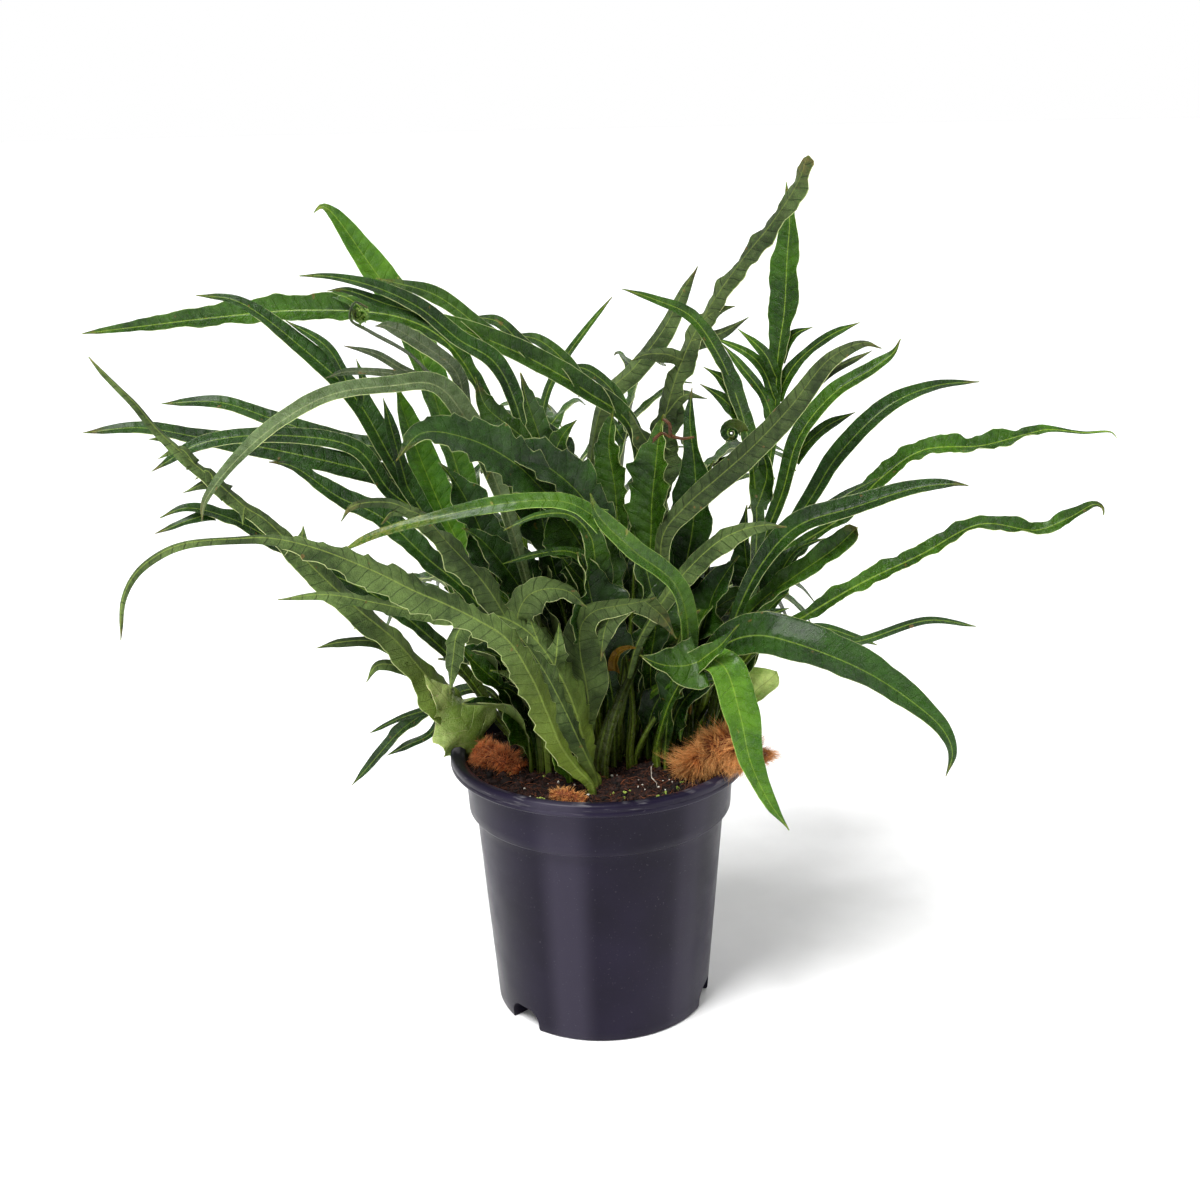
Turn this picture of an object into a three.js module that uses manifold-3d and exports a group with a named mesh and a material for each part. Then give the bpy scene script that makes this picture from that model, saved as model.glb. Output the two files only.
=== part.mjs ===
// A crown fern (Aglaomorpha coronans) in a 17 cm nursery pot. Millimetres, +Z up.
// The origin is the centre of the pot's foot, -Y is the front.
import * as THREE from "three";
import { mergeVertices } from "three/addons/utils/BufferGeometryUtils.js";
import Module from "manifold-3d";

const wasm = await Module();
wasm.setup();

// Driving dimensions of the pot
const RIM_RADIUS = 85;
const RIM_TOP = 155.5;
const LIP_HEIGHT = 7.5;
const COLLAR_RADIUS = 77;
const COLLAR_FOOT_RADIUS = 75.4;
const COLLAR_STEP = 121;
const BODY_TOP_RADIUS = 71.3;
const FOOT_RADIUS = 62.3;
const WALL = 1.5;
const POT_SIDES = 32;

// Drainage notches: arches cut through the foot, with a closed pocket behind each
const NOTCH_ANGLES = [-47, 73, 193];
const NOTCH_WIDTH = 22;
const NOTCH_HEIGHT = 12;
const NOTCH_DEPTH = 14;

// Soil and what sits in it
const SOIL_TOP = 147;
const SOIL_CLEARANCE = 0.3;
const STALK_DEPTH = 11;
const STALK_RISE = 4;
const STALK_HOLE_RADIUS = 4;

// Leaves
const BLADE_THICKNESS = 0.7;
const STALK_THICKNESS = 3;
const MIDRIB_THICKNESS = 1.1;
const STALK_WIDTH = 4;
const CHANNEL_DEPTH = 0.13;
const MARGIN_WAVE = 0.07;
const SPINE_STEP = 23;
const LOBE_STEP = 18;

// Leaves are placed as an eye at the front sees them: x to the right of the pot's axis and z up,
// on the upright plane through that axis, with the millimetres that the point stands forward of it.
const EYE_DISTANCE = 853;
const EYE_HEIGHT = 504;
const EYE_SIDE = 2.3;

// How far a blade's face turns from the eye up to the sky, in degrees
const FACE_ROLL = 32;

const finishes = {
  pot: { color: 0x3d3b43, roughness: 0.5, metalness: 0 },
  soil: { color: 0x2c211b, roughness: 1, metalness: 0 },
  fur: { color: 0xb86a35, roughness: 0.95, metalness: 0 },
  dark: { color: 0x2f5a2c, roughness: 0.4, metalness: 0 },
  deep: { color: 0x3c6a30, roughness: 0.42, metalness: 0 },
  bright: { color: 0x4f9432, roughness: 0.45, metalness: 0 },
  grey: { color: 0x6b7d5c, roughness: 0.6, metalness: 0 },
  papery: { color: 0xa3ad80, roughness: 0.7, metalness: 0 },
};

// Solids

function toManifold(geometry) {
  const bare = geometry.clone();
  bare.deleteAttribute("normal");
  bare.deleteAttribute("uv");
  const merged = mergeVertices(bare, 1e-3);
  const solid = new wasm.Manifold(
    new wasm.Mesh({
      numProp: 3,
      vertProperties: new Float32Array(merged.attributes.position.array),
      triVerts: new Uint32Array(merged.index.array),
    }),
  );
  return solid;
}

function toGeometry(solid) {
  const mesh = solid.getMesh();
  const geometry = new THREE.BufferGeometry();
  geometry.setAttribute("position", new THREE.BufferAttribute(mesh.vertProperties, 3));
  geometry.setIndex(new THREE.BufferAttribute(mesh.triVerts, 1));
  geometry.computeVertexNormals();
  return geometry;
}

function geometryFrom(points, triangles) {
  const geometry = new THREE.BufferGeometry().setFromPoints(points);
  geometry.setIndex(triangles.flat());
  return geometry;
}

// A closed body of revolution from [radius, z] points that go up its outside from the axis.
function turned(profile, sides) {
  const points = profile.map(([radius, z]) => new THREE.Vector2(radius, z));
  return toManifold(new THREE.LatheGeometry(points, sides).rotateX(Math.PI / 2));
}

// A round rod through the points, with its own radius at each, closed by flat ends.
function rod(points, radii, sides, steps) {
  const curve = new THREE.CatmullRomCurve3(points, false, "centripetal");
  const frames = curve.computeFrenetFrames(steps, false);
  const rings = [];
  for (let i = 0; i <= steps; i++) {
    const along = curve.getUtoTmapping(i / steps);
    const radius = valueAt(radii, along);
    const centre = curve.getPoint(along);
    for (let j = 0; j < sides; j++) {
      const turn = (2 * Math.PI * j) / sides;
      rings.push(
        centre
          .clone()
          .addScaledVector(frames.normals[i], radius * Math.cos(turn))
          .addScaledVector(frames.binormals[i], radius * Math.sin(turn)),
      );
    }
  }
  const triangles = [];
  for (let i = 0; i < steps; i++)
    for (let j = 0; j < sides; j++) {
      const next = (j + 1) % sides;
      const here = i * sides;
      const there = here + sides;
      triangles.push([here + j, here + next, there + next]);
      triangles.push([here + j, there + next, there + j]);
    }
  const last = steps * sides;
  for (let j = 1; j < sides - 1; j++) {
    triangles.push([0, j + 1, j]);
    triangles.push([last, last + j, last + j + 1]);
  }
  return toManifold(geometryFrom(rings, triangles));
}

// The value of a list at a share from 0 to 1 of its length, in straight lines between its entries.
function valueAt(list, share) {
  const place = share * (list.length - 1);
  const index = Math.min(Math.floor(place), list.length - 2);
  return list[index] + (list[index + 1] - list[index]) * (place - index);
}

// Leaves

function fromDrawing(x, z, forward) {
  const nearer = 1 - forward / EYE_DISTANCE;
  return new THREE.Vector3(
    EYE_SIDE + (x - EYE_SIDE) * nearer,
    -forward,
    EYE_HEIGHT + (z - EYE_HEIGHT) * nearer,
  );
}

// A section across a blade, from [side, height] corners: the upper face from left to right, then
// the lower face back from right to left, so that each face's corners face each other.
function channelSection(width, lift, wave, middle) {
  const margin = BLADE_THICKNESS / 2;
  const half = width / 2;
  return [
    [-half, lift + wave + margin],
    [0, middle],
    [half, lift - wave + margin],
    [half, lift - wave - margin],
    [0, -middle],
    [-half, lift + wave - margin],
  ];
}

function flatSection(width, lift, wave, middle) {
  const half = width / 2;
  return [
    [-half, wave + middle],
    [half, middle - wave],
    [half, -middle - wave],
    [-half, wave - middle],
  ];
}

// A thin arched blade along its points, whose margins wave a little. Its first stretch, foot
// millimetres long, is one straight piece.
function blade(points, widths, thicknesses, { step, section, roll, foot = 0 }) {
  const curve = new THREE.CatmullRomCurve3(points, false, "centripetal");
  const length = curve.getLength();
  const free = Math.max(Math.round((length - foot) / step), 2);
  const footShare = foot / length;
  const stations = Array.from({ length: free + 1 }, (_, i) =>
    THREE.MathUtils.lerp(footShare, 1, i / free),
  );
  if (foot) stations.unshift(0);
  const leansLeft = points.at(-1).x < points[0].x ? 1 : -1;
  const turn = THREE.MathUtils.degToRad(roll);
  const corners = [];
  stations.forEach((share, i) => {
    const along = curve.getUtoTmapping(share);
    const centre = curve.getPoint(along);
    const tangent = curve.getTangent(along);
    const toEye = new THREE.Vector3(EYE_SIDE, -EYE_DISTANCE, EYE_HEIGHT).sub(centre);
    toEye.addScaledVector(tangent, -toEye.dot(tangent)).normalize();
    const skyward = new THREE.Vector3().crossVectors(tangent, toEye).multiplyScalar(leansLeft);
    const face = toEye.multiplyScalar(Math.cos(turn)).addScaledVector(skyward, Math.sin(turn));
    const across = new THREE.Vector3().crossVectors(tangent, face);
    const width = valueAt(widths, along);
    const wave = width * MARGIN_WAVE * (i % 2 ? 1 : -1);
    const middle = valueAt(thicknesses, share) / 2;
    for (const [side, height] of section(width, width * CHANNEL_DEPTH, wave, middle))
      corners.push(centre.clone().addScaledVector(across, side).addScaledVector(face, height));
  });
  return { solid: toManifold(skinned(corners, stations.length - 1)), curve };
}

// The closed skin over sections that follow each other. Both faces are split along like diagonals.
function skinned(corners, segments) {
  const count = corners.length / (segments + 1);
  const triangles = [];
  for (let i = 0; i < segments; i++) {
    const here = i * count;
    const there = here + count;
    for (let a = 0; a < count; a++) {
      const b = (a + 1) % count;
      const lowerFace = a >= count / 2 && b > 0;
      if (lowerFace) {
        triangles.push([here + a, here + b, there + a], [here + b, there + b, there + a]);
      } else {
        triangles.push([here + a, here + b, there + b], [here + a, there + b, there + a]);
      }
    }
  }
  const last = segments * count;
  for (let a = 0; a < count / 2 - 1; a++) {
    const across = count - 1 - a;
    triangles.push([a, across, across - 1], [a, across - 1, a + 1]);
    triangles.push([last + a, last + across - 1, last + across]);
    triangles.push([last + a, last + a + 1, last + across - 1]);
  }
  return geometryFrom(corners, triangles);
}

function spineBlade(points, widths, roll) {
  const shape = { step: SPINE_STEP, section: channelSection, roll, foot: STALK_DEPTH + STALK_RISE };
  return blade(points, widths, [STALK_THICKNESS, MIDRIB_THICKNESS], shape);
}

function lobeBlade(points, widths, roll) {
  const shape = { step: LOBE_STEP, section: flatSection, roll };
  return blade(points, widths, [MIDRIB_THICKNESS, BLADE_THICKNESS], shape).solid;
}

// The point of a curve that the eye sees nearest to a drawn place.
function nearestOn(curve, x, z) {
  let best = null;
  for (let i = 0; i <= 80; i++) {
    const point = curve.getPoint(i / 80);
    const nearer = 1 + point.y / EYE_DISTANCE;
    const seenX = EYE_SIDE + (point.x - EYE_SIDE) / nearer;
    const seenZ = EYE_HEIGHT + (point.z - EYE_HEIGHT) / nearer;
    const distance = Math.hypot(seenX - x, seenZ - z);
    if (!best || distance < best.distance) best = { distance, point };
  }
  return best.point;
}

// A frond: a stalk that stands upright in the soil, its winged midrib, and its side lobes.
// base is [x, forward] of the stalk on the soil, spine holds [x, z, forward, width],
// and each lobe has the millimetres that its tip comes forward of its root, and [x, z, width].
function frond({ base, spine, lobes = [], roll = FACE_ROLL }) {
  const [baseX, baseForward] = base;
  const trueWidth = (seen) => seen / Math.cos(THREE.MathUtils.degToRad(roll));
  const points = [
    new THREE.Vector3(baseX, -baseForward, SOIL_TOP - STALK_DEPTH),
    new THREE.Vector3(baseX, -baseForward, SOIL_TOP + STALK_RISE),
    ...spine.map(([x, z, forward]) => fromDrawing(x, z, forward)),
  ];
  const widths = [STALK_WIDTH, STALK_WIDTH, ...spine.map(([, , , seen]) => trueWidth(seen))];
  const main = spineBlade(points, widths, roll);
  let solid = main.solid;
  for (const { reach = 0, points: drawn, roll: lobeRoll = FACE_ROLL } of lobes) {
    const root = nearestOn(main.curve, drawn[0][0], drawn[0][1]);
    const steps = drawn.length - 1;
    const lobePoints = drawn.map(([x, z], i) =>
      i ? fromDrawing(x, z, -root.y + (reach * i) / steps) : root,
    );
    const lobeWidths = drawn.map(([, , seen]) => trueWidth(seen));
    solid = solid.add(lobeBlade(lobePoints, lobeWidths, lobeRoll));
  }
  return solid;
}

const seenFronds = {
  frond_left_arching: {
    finish: "grey",
    base: [-66, -14],
    spine: [
      [-74, 170, -12, 9], [-81, 178, -10, 28], [-89, 188, -7, 22], [-98, 200, -4, 14], [-114, 221, 2, 13],
      [-132, 238, 8, 13], [-154, 260, 14, 13], [-175, 286, 18, 13], [-199, 315, 22, 12],
      [-220, 333, 25, 9], [-243, 356, 28, 7], [-259, 372, 30, 5], [-267, 383, 30, 2],
    ],
    lobes: [
      { points: [[-226, 340, 4], [-233, 338, 3], [-240, 338, 2]] },
      { points: [[-212, 328, 6], [-223, 332, 5], [-236, 327, 2]] },
      { points: [[-202, 318, 6], [-210, 320, 5], [-217, 315, 2]] },
      { points: [[-196, 310, 7], [-208, 313, 6], [-224, 308, 2]] },
      { reach: 5, points: [[-189, 303, 8], [-192, 297, 5], [-193, 289, 2]] },
      { points: [[-163, 272, 10], [-161, 281, 8], [-160, 288, 3]] },
      { reach: 8, points: [[-103, 212, 6], [-125, 220, 6], [-145, 220, 5], [-158, 217, 2]] },
      { reach: 10, points: [[-92, 192, 7], [-110, 204, 6], [-124, 206, 6], [-131, 196, 2]] },
    ],
  },
  frond_left_dark: {
    finish: "dark",
    base: [-52, -24],
    spine: [
      [-57, 170, -26, 5], [-75, 200, -28, 8], [-100, 228, -28, 10], [-126, 249, -26, 11],
      [-152, 263, -22, 12], [-177, 280, -18, 12], [-200, 293, -14, 10], [-223, 299, -10, 7],
      [-238, 294, -8, 2],
    ],
    lobes: [{ reach: 8, points: [[-208, 296, 6], [-220, 293, 5], [-242, 285, 2]] }],
  },
  frond_front_long: {
    finish: "grey",
    base: [-4, 52],
    spine: [
      [-13, 140, 54, 8], [-22, 154, 58, 13], [-30, 176, 62, 17], [-37, 195, 66, 18],
      [-51, 220, 70, 15], [-66, 231, 74, 12], [-88, 245, 79, 11], [-118, 259, 86, 12],
      [-153, 274, 92, 12], [-187, 281, 97, 11], [-216, 279, 101, 9], [-250, 268, 104, 6],
      [-264, 244, 105, 4], [-267, 224, 105, 2],
    ],
  },
  frond_front_short: {
    finish: "deep",
    base: [-3, 30],
    spine: [
      [-10, 150, 33, 8], [-17, 166, 37, 13], [-25, 184, 41, 16], [-33, 202, 46, 16],
      [-40, 214, 50, 10], [-45, 222, 53, 3],
    ],
  },
  frond_front_winged: {
    finish: "grey",
    base: [-6, 6],
    spine: [
      [-10, 168, 10, 9], [-16, 184, 14, 16], [-22, 198, 18, 20], [-30, 212, 22, 18],
      [-38, 222, 26, 14], [-57, 234, 34, 10], [-86, 234, 44, 8], [-120, 242, 54, 9],
      [-150, 248, 62, 8], [-177, 246, 68, 2],
    ],
    lobes: [
      { reach: -3, points: [[-24, 204, 10], [-22, 216, 8], [-21, 229, 2]] },
      { reach: -3, points: [[-34, 217, 10], [-36, 227, 7], [-38, 237, 2]] },
      { reach: 12, points: [[-67, 234, 9], [-77, 225, 10], [-81, 208, 9], [-84, 188, 2]] },
    ],
  },
  frond_left_straight: {
    finish: "dark",
    base: [-40, 2],
    spine: [
      [-46, 180, 2, 4], [-56, 215, 4, 6], [-67, 242, 6, 10], [-94, 269, 6, 12],
      [-117, 292, 4, 12], [-140, 304, 2, 11], [-163, 321, -2, 8], [-176, 324, -4, 2],
    ],
  },
  frond_left_branched: {
    finish: "dark",
    base: [-34, -14],
    spine: [
      [-42, 190, -16, 4], [-62, 240, -20, 6], [-92, 290, -24, 10], [-109, 323, -28, 12],
      [-127, 358, -32, 12], [-152, 384, -38, 11], [-185, 410, -46, 8], [-207, 414, -52, 2],
    ],
    lobes: [
      {
        reach: 34,
        points: [
          [-96, 293, 7], [-111, 306, 9], [-128, 330, 9], [-164, 338, 9], [-211, 335, 8],
          [-240, 320, 2],
        ],
      },
      {
        reach: 8,
        points: [
          [-104, 312, 12], [-131, 320, 14], [-174, 331, 12], [-212, 338, 10], [-244, 344, 8],
          [-275, 342, 2],
        ],
      },
      {
        reach: -14,
        points: [[-112, 330, 9], [-143, 337, 10], [-171, 347, 9], [-200, 357, 8], [-231, 357, 2]],
      },
      { reach: -10, points: [[-128, 360, 7], [-140, 385, 6], [-161, 400, 2]] },
      { reach: -8, points: [[-122, 352, 6], [-122, 366, 5], [-125, 379, 2]] },
      { reach: 10, points: [[-101, 308, 7], [-108, 338, 7], [-112, 358, 2]] },
    ],
  },
  frond_top_left: {
    finish: "dark",
    base: [-30, -34],
    spine: [
      [-34, 200, -44, 4], [-42, 290, -62, 5], [-56, 350, -70, 7], [-76, 386, -76, 10],
      [-100, 400, -80, 13], [-150, 405, -86, 15], [-200, 402, -92, 13], [-240, 398, -98, 9],
      [-269, 395, -102, 2],
    ],
    lobes: [{ reach: -6, points: [[-118, 403, 9], [-130, 412, 6], [-142, 413, 2]] }],
  },
  frond_light_green: {
    finish: "bright",
    base: [-44, -44],
    spine: [
      [-48, 200, -62, 4], [-60, 250, -78, 8], [-70, 300, -92, 12], [-80, 340, -104, 14],
      [-95, 395, -116, 15], [-115, 430, -126, 13], [-137, 459, -134, 5], [-142, 455, -135, 2],
    ],
  },
  frond_silvery_arch: {
    finish: "grey",
    base: [-24, -2],
    spine: [
      [-28, 200, 2, 4], [-38, 250, 6, 5], [-50, 300, 12, 8], [-68, 345, 28, 12],
      [-84, 364, 44, 10], [-107, 364, 58, 8], [-142, 359, 66, 9], [-181, 336, 74, 9],
      [-212, 303, 80, 6], [-215, 292, 80, 2],
    ],
    lobes: [
      { reach: -5, points: [[-88, 364, 5], [-103, 370, 4], [-131, 372, 4], [-142, 369, 2]] },
      { reach: -12, points: [[-84, 363, 5], [-101, 373, 4], [-114, 381, 4], [-131, 386, 2]] },
      {
        reach: -16,
        roll: 75,
        points: [[-82, 361, 4], [-96, 380, 4], [-117, 393, 4], [-127, 400, 4], [-124, 409, 3], [-117, 406, 3]],
      },
      { reach: -22, points: [[-68, 344, 6], [-72, 370, 8], [-87, 384, 9], [-107, 396, 6], [-114, 396, 2]] },
    ],
  },
  frond_dark_arch: {
    finish: "dark",
    base: [-18, -22],
    spine: [
      [-22, 200, -24, 4], [-32, 300, -26, 6], [-41, 353, -26, 9], [-52, 376, -24, 10],
      [-70, 388, -22, 9], [-90, 405, -20, 9], [-112, 416, -18, 8], [-135, 422, -16, 5],
      [-152, 423, -15, 2],
    ],
    lobes: [{ reach: 10, points: [[-84, 400, 7], [-106, 407, 6], [-128, 415, 4], [-138, 415, 2]] }],
  },
  frond_long_arch: {
    finish: "deep",
    base: [12, -26],
    spine: [
      [16, 200, -34, 4], [24, 300, -46, 6], [20, 340, -48, 9], [-3, 359, -46, 12],
      [-34, 378, -44, 12], [-65, 392, -42, 11], [-90, 401, -40, 7], [-104, 405, -40, 2],
    ],
    lobes: [
      { reach: -8, points: [[-48, 385, 8], [-62, 397, 9], [-82, 412, 9], [-112, 421, 2]] },
      { reach: -8, points: [[-26, 374, 7], [-37, 385, 8], [-49, 397, 7], [-64, 400, 2]] },
      { reach: -8, points: [[-2, 359, 7], [-13, 374, 8], [-28, 387, 7], [-44, 390, 2]] },
      { reach: -8, points: [[19, 344, 7], [11, 359, 8], [-3, 371, 6], [-14, 373, 2]] },
    ],
  },
  frond_thin_upright: {
    finish: "deep",
    base: [-14, -44],
    spine: [
      [-18, 220, -58, 4], [-29, 320, -70, 4], [-24, 357, -74, 5], [-14, 376, -76, 5],
      [-2, 392, -78, 5], [12, 409, -80, 2],
    ],
  },
  frond_grey_upright: {
    finish: "grey",
    base: [0, -40],
    spine: [
      [0, 220, -54, 4], [-2, 310, -66, 6], [8, 356, -72, 12], [23, 371, -74, 12],
      [39, 391, -77, 12], [51, 414, -79, 7], [57, 424, -80, 2],
    ],
  },
  frond_centre_broad: {
    finish: "dark",
    base: [4, -20],
    spine: [
      [14, 200, -22, 5], [10, 255, -12, 7], [0, 290, 8, 18], [-14, 309, 18, 25],
      [-35, 322, 24, 17], [-54, 319, 28, 2],
    ],
    lobes: [
      {
        reach: 62,
        points: [[-2, 288, 8], [-22, 298, 12], [-43, 318, 17], [-67, 333, 15], [-95, 337, 8], [-107, 323, 2]],
      },
    ],
  },
  frond_grey_green: {
    finish: "grey",
    base: [-28, 24],
    spine: [
      [-33, 190, 32, 5], [-46, 222, 40, 9], [-61, 251, 52, 13], [-81, 276, 60, 13],
      [-96, 293, 60, 9], [-110, 295, 62, 5], [-117, 288, 62, 2],
    ],
    lobes: [
      { reach: 4, points: [[-96, 292, 5], [-112, 300, 5], [-133, 298, 4], [-139, 290, 2]] },
      { reach: 8, points: [[-47, 226, 11], [-36, 246, 17], [-18, 248, 12], [-5, 238, 3]] },
    ],
  },
  frond_bright: {
    finish: "bright",
    base: [22, 6],
    spine: [
      [26, 160, 6, 4], [33, 172, 6, 5], [47, 196, 10, 8], [51, 222, 26, 10],
      [44, 250, 44, 10], [20, 271, 60, 11], [1, 292, 66, 11], [-2, 303, 67, 3],
    ],
    lobes: [
      {
        reach: 4,
        points: [[4, 287, 8], [-15, 298, 8], [-50, 298, 9], [-87, 291, 9], [-123, 281, 7], [-141, 272, 2]],
      },
      { reach: 14, points: [[46, 194, 7], [46, 180, 11], [47, 168, 9], [47, 156, 2]] },
    ],
  },
  frond_centre_thin: {
    finish: "deep",
    base: [0, -8],
    spine: [
      [0, 200, 0, 4], [1, 240, 12, 10], [0, 262, 22, 16], [-3, 280, 30, 9],
      [-14, 291, 36, 5], [-31, 291, 40, 4], [-50, 283, 44, 2],
    ],
    lobes: [
      { reach: 6, points: [[1, 261, 7], [-13, 270, 5], [-32, 269, 4], [-51, 264, 2]] },
      { reach: 6, points: [[2, 245, 11], [-10, 256, 13], [-19, 268, 4]] },
    ],
  },
  frond_centre_folded: {
    finish: "deep",
    base: [-8, -22],
    spine: [
      [-12, 220, -14, 4], [-20, 300, -6, 8], [-29, 335, -2, 13], [-36, 358, 0, 11],
      [-38, 370, 0, 3],
    ],
    lobes: [
      { reach: 8, points: [[-26, 325, 8], [-44, 340, 11], [-57, 352, 13], [-62, 368, 3]] },
      { reach: 8, points: [[-24, 318, 7], [-16, 335, 10], [-8, 344, 3]] },
    ],
  },
  frond_centre_right: {
    finish: "grey",
    base: [5, 10],
    spine: [
      [11, 167, 13, 5], [17, 193, 18, 7], [23, 215, 22, 8], [36, 238, 26, 9],
      [53, 260, 30, 11], [73, 277, 36, 12], [93, 283, 42, 7], [106, 282, 46, 2],
    ],
  },
  frond_ribbed_star: {
    finish: "grey",
    base: [-8, 22],
    spine: [
      [-9, 175, 26, 7], [-9, 192, 30, 19], [-6, 214, 36, 21], [3, 230, 40, 12],
      [20, 238, 42, 10], [33, 243, 40, 2],
    ],
    lobes: [
      { reach: 6, points: [[17, 237, 9], [10, 224, 10], [2, 207, 2]] },
      { reach: 6, points: [[22, 239, 9], [36, 231, 9], [44, 219, 2]] },
    ],
  },
  frond_heart: {
    finish: "bright",
    base: [32, 14],
    spine: [
      [32, 172, 24, 5], [32, 197, 38, 8], [35, 212, 50, 25], [44, 226, 58, 15],
      [60, 231, 62, 8], [76, 227, 66, 2],
    ],
  },
  frond_bright_hanging: {
    finish: "bright",
    base: [20, -4],
    spine: [
      [22, 168, 2, 4], [28, 183, 8, 5], [41, 193, 20, 6], [60, 206, 44, 8],
      [72, 200, 60, 18], [81, 170, 74, 19], [87, 142, 84, 15], [98, 117, 92, 11],
      [110, 99, 96, 2],
    ],
  },
  frond_right_broad: {
    finish: "dark",
    base: [52, -2],
    spine: [
      [55, 172, 2, 5], [60, 198, 10, 8], [74, 215, 26, 17], [91, 219, 38, 23],
      [114, 213, 50, 24], [150, 197, 64, 21], [178, 178, 74, 14], [197, 160, 81, 9],
      [203, 146, 84, 6], [200, 131, 85, 2],
    ],
    lobes: [
      { reach: -8, points: [[84, 218, 9], [97, 231, 7], [108, 235, 2]] },
      { reach: -18, points: [[106, 216, 7], [124, 223, 5], [145, 217, 4], [158, 212, 2]] },
      { reach: -40, points: [[122, 210, 6], [150, 215, 5], [185, 226, 4], [213, 222, 2]] },
    ],
  },
  frond_right_curling: {
    finish: "deep",
    base: [59, -32],
    spine: [
      [61, 183, -28, 4], [67, 202, -24, 5], [84, 237, -18, 6], [89, 277, -14, 8],
      [86, 320, -12, 8], [79, 350, -10, 9], [68, 377, -8, 8], [53, 398, -6, 8],
      [34, 407, -5, 6], [17, 413, -4, 2],
    ],
    lobes: [
      { reach: 6, points: [[79, 350, 6], [71, 363, 7], [60, 371, 2]] },
      { reach: 6, points: [[82, 337, 6], [73, 351, 7], [58, 362, 2]] },
      { reach: 6, points: [[88, 292, 8], [95, 312, 12], [90, 330, 3]] },
    ],
  },
  frond_tall_upright: {
    finish: "deep",
    base: [62, -20],
    spine: [
      [69, 189, -34, 4], [84, 240, -48, 5], [92, 293, -58, 6], [98, 330, -64, 6],
      [100, 375, -68, 8], [103, 400, -70, 16], [104, 427, -72, 17], [105, 447, -73, 11],
      [103, 466, -74, 2],
    ],
    lobes: [
      { reach: 6, points: [[100, 374, 6], [108, 387, 6], [118, 391, 2]] },
      { reach: 10, points: [[99, 354, 6], [109, 371, 7], [127, 386, 5], [143, 393, 2]] },
      { reach: 6, points: [[99, 364, 6], [92, 378, 6], [78, 391, 2]] },
      { reach: 10, points: [[97, 338, 6], [92, 355, 7], [80, 371, 5], [70, 383, 2]] },
      { reach: -6, points: [[98, 352, 5], [88, 374, 6], [65, 387, 2]] },
    ],
  },
  frond_tall_twisted: {
    finish: "grey",
    base: [50, -18],
    spine: [
      [50, 183, -24, 4], [42, 240, -32, 7], [32, 289, -34, 12], [35, 318, -34, 21],
      [41, 350, -32, 15], [50, 377, -30, 13], [62, 400, -28, 13], [81, 427, -24, 14],
      [95, 444, -22, 12], [109, 465, -20, 9], [114, 478, -20, 7],
    ],
    lobes: [
      { reach: 5, points: [[60, 395, 7], [68, 401, 6], [77, 403, 2]] },
      { reach: 5, points: [[54, 384, 7], [68, 388, 6], [84, 397, 2]] },
      { reach: 6, points: [[49, 375, 6], [40, 378, 7], [29, 378, 5], [21, 375, 2]] },
      { reach: 6, points: [[40, 345, 7], [50, 356, 6], [62, 354, 2]] },
      { reach: 6, points: [[36, 322, 8], [26, 336, 10], [20, 348, 3]] },
    ],
  },
  frond_diagonal_ribbed: {
    finish: "grey",
    base: [34, -14],
    spine: [
      [41, 176, -10, 4], [40, 230, 0, 5], [38, 278, 8, 9], [50, 294, 10, 12],
      [68, 310, 12, 13], [85, 325, 14, 13], [106, 347, 16, 13], [128, 374, 18, 11],
      [146, 382, 20, 6], [155, 379, 20, 2],
    ],
    lobes: [{ reach: -8, points: [[112, 355, 6], [126, 366, 5], [150, 378, 2]] }],
  },
  frond_shiny_dark: {
    finish: "dark",
    base: [44, -30],
    spine: [
      [46, 220, -22, 4], [50, 258, -16, 11], [54, 280, -14, 23], [56, 305, -12, 20],
      [55, 322, -12, 9], [53, 341, -12, 9], [54, 360, -12, 2],
    ],
  },
  frond_right_fork: {
    finish: "deep",
    base: [48, -44],
    spine: [
      [60, 200, -46, 4], [86, 258, -44, 5], [103, 300, -42, 8], [112, 332, -42, 10],
      [130, 355, -42, 10], [152, 369, -44, 9], [162, 377, -46, 5], [165, 384, -46, 2],
    ],
    lobes: [{ reach: -6, points: [[109, 320, 7], [126, 337, 7], [142, 345, 2]] }],
  },
  frond_right_rising: {
    finish: "dark",
    base: [34, -50],
    spine: [
      [50, 200, -60, 4], [90, 255, -72, 6], [118, 296, -80, 9], [133, 321, -84, 11],
      [160, 348, -90, 11], [184, 358, -96, 8], [208, 360, -102, 2],
    ],
  },
  frond_right_glossy: {
    finish: "dark",
    base: [62, -4],
    spine: [
      [68, 190, 0, 4], [80, 235, 4, 6], [94, 263, 6, 10], [112, 282, 8, 13],
      [143, 292, 14, 12], [176, 302, 20, 9], [196, 304, 24, 6], [205, 303, 26, 2],
    ],
    lobes: [{ reach: -8, points: [[118, 284, 6], [138, 299, 5], [157, 309, 2]] }],
  },
  frond_right_blunt: {
    finish: "deep",
    base: [38, 4],
    spine: [
      [50, 175, -2, 4], [72, 215, -8, 6], [92, 239, -2, 9], [112, 254, 4, 12],
      [134, 270, 8, 12], [145, 281, 10, 6],
    ],
    lobes: [{ reach: -5, points: [[96, 243, 6], [112, 269, 5], [127, 275, 2]] }],
  },
  frond_far_right: {
    finish: "deep",
    base: [24, -36],
    spine: [
      [50, 208, -50, 4], [100, 262, -58, 5], [138, 288, -62, 7], [157, 308, -64, 10],
      [179, 323, -68, 11], [211, 325, -72, 10], [244, 329, -76, 9], [266, 330, -79, 4],
      [288, 327, -82, 2],
    ],
  },
  frond_right_wavy: {
    finish: "deep",
    base: [60, 10],
    spine: [
      [72, 185, 8, 4], [92, 213, 12, 4], [114, 228, 16, 6], [147, 248, 20, 9],
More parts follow.
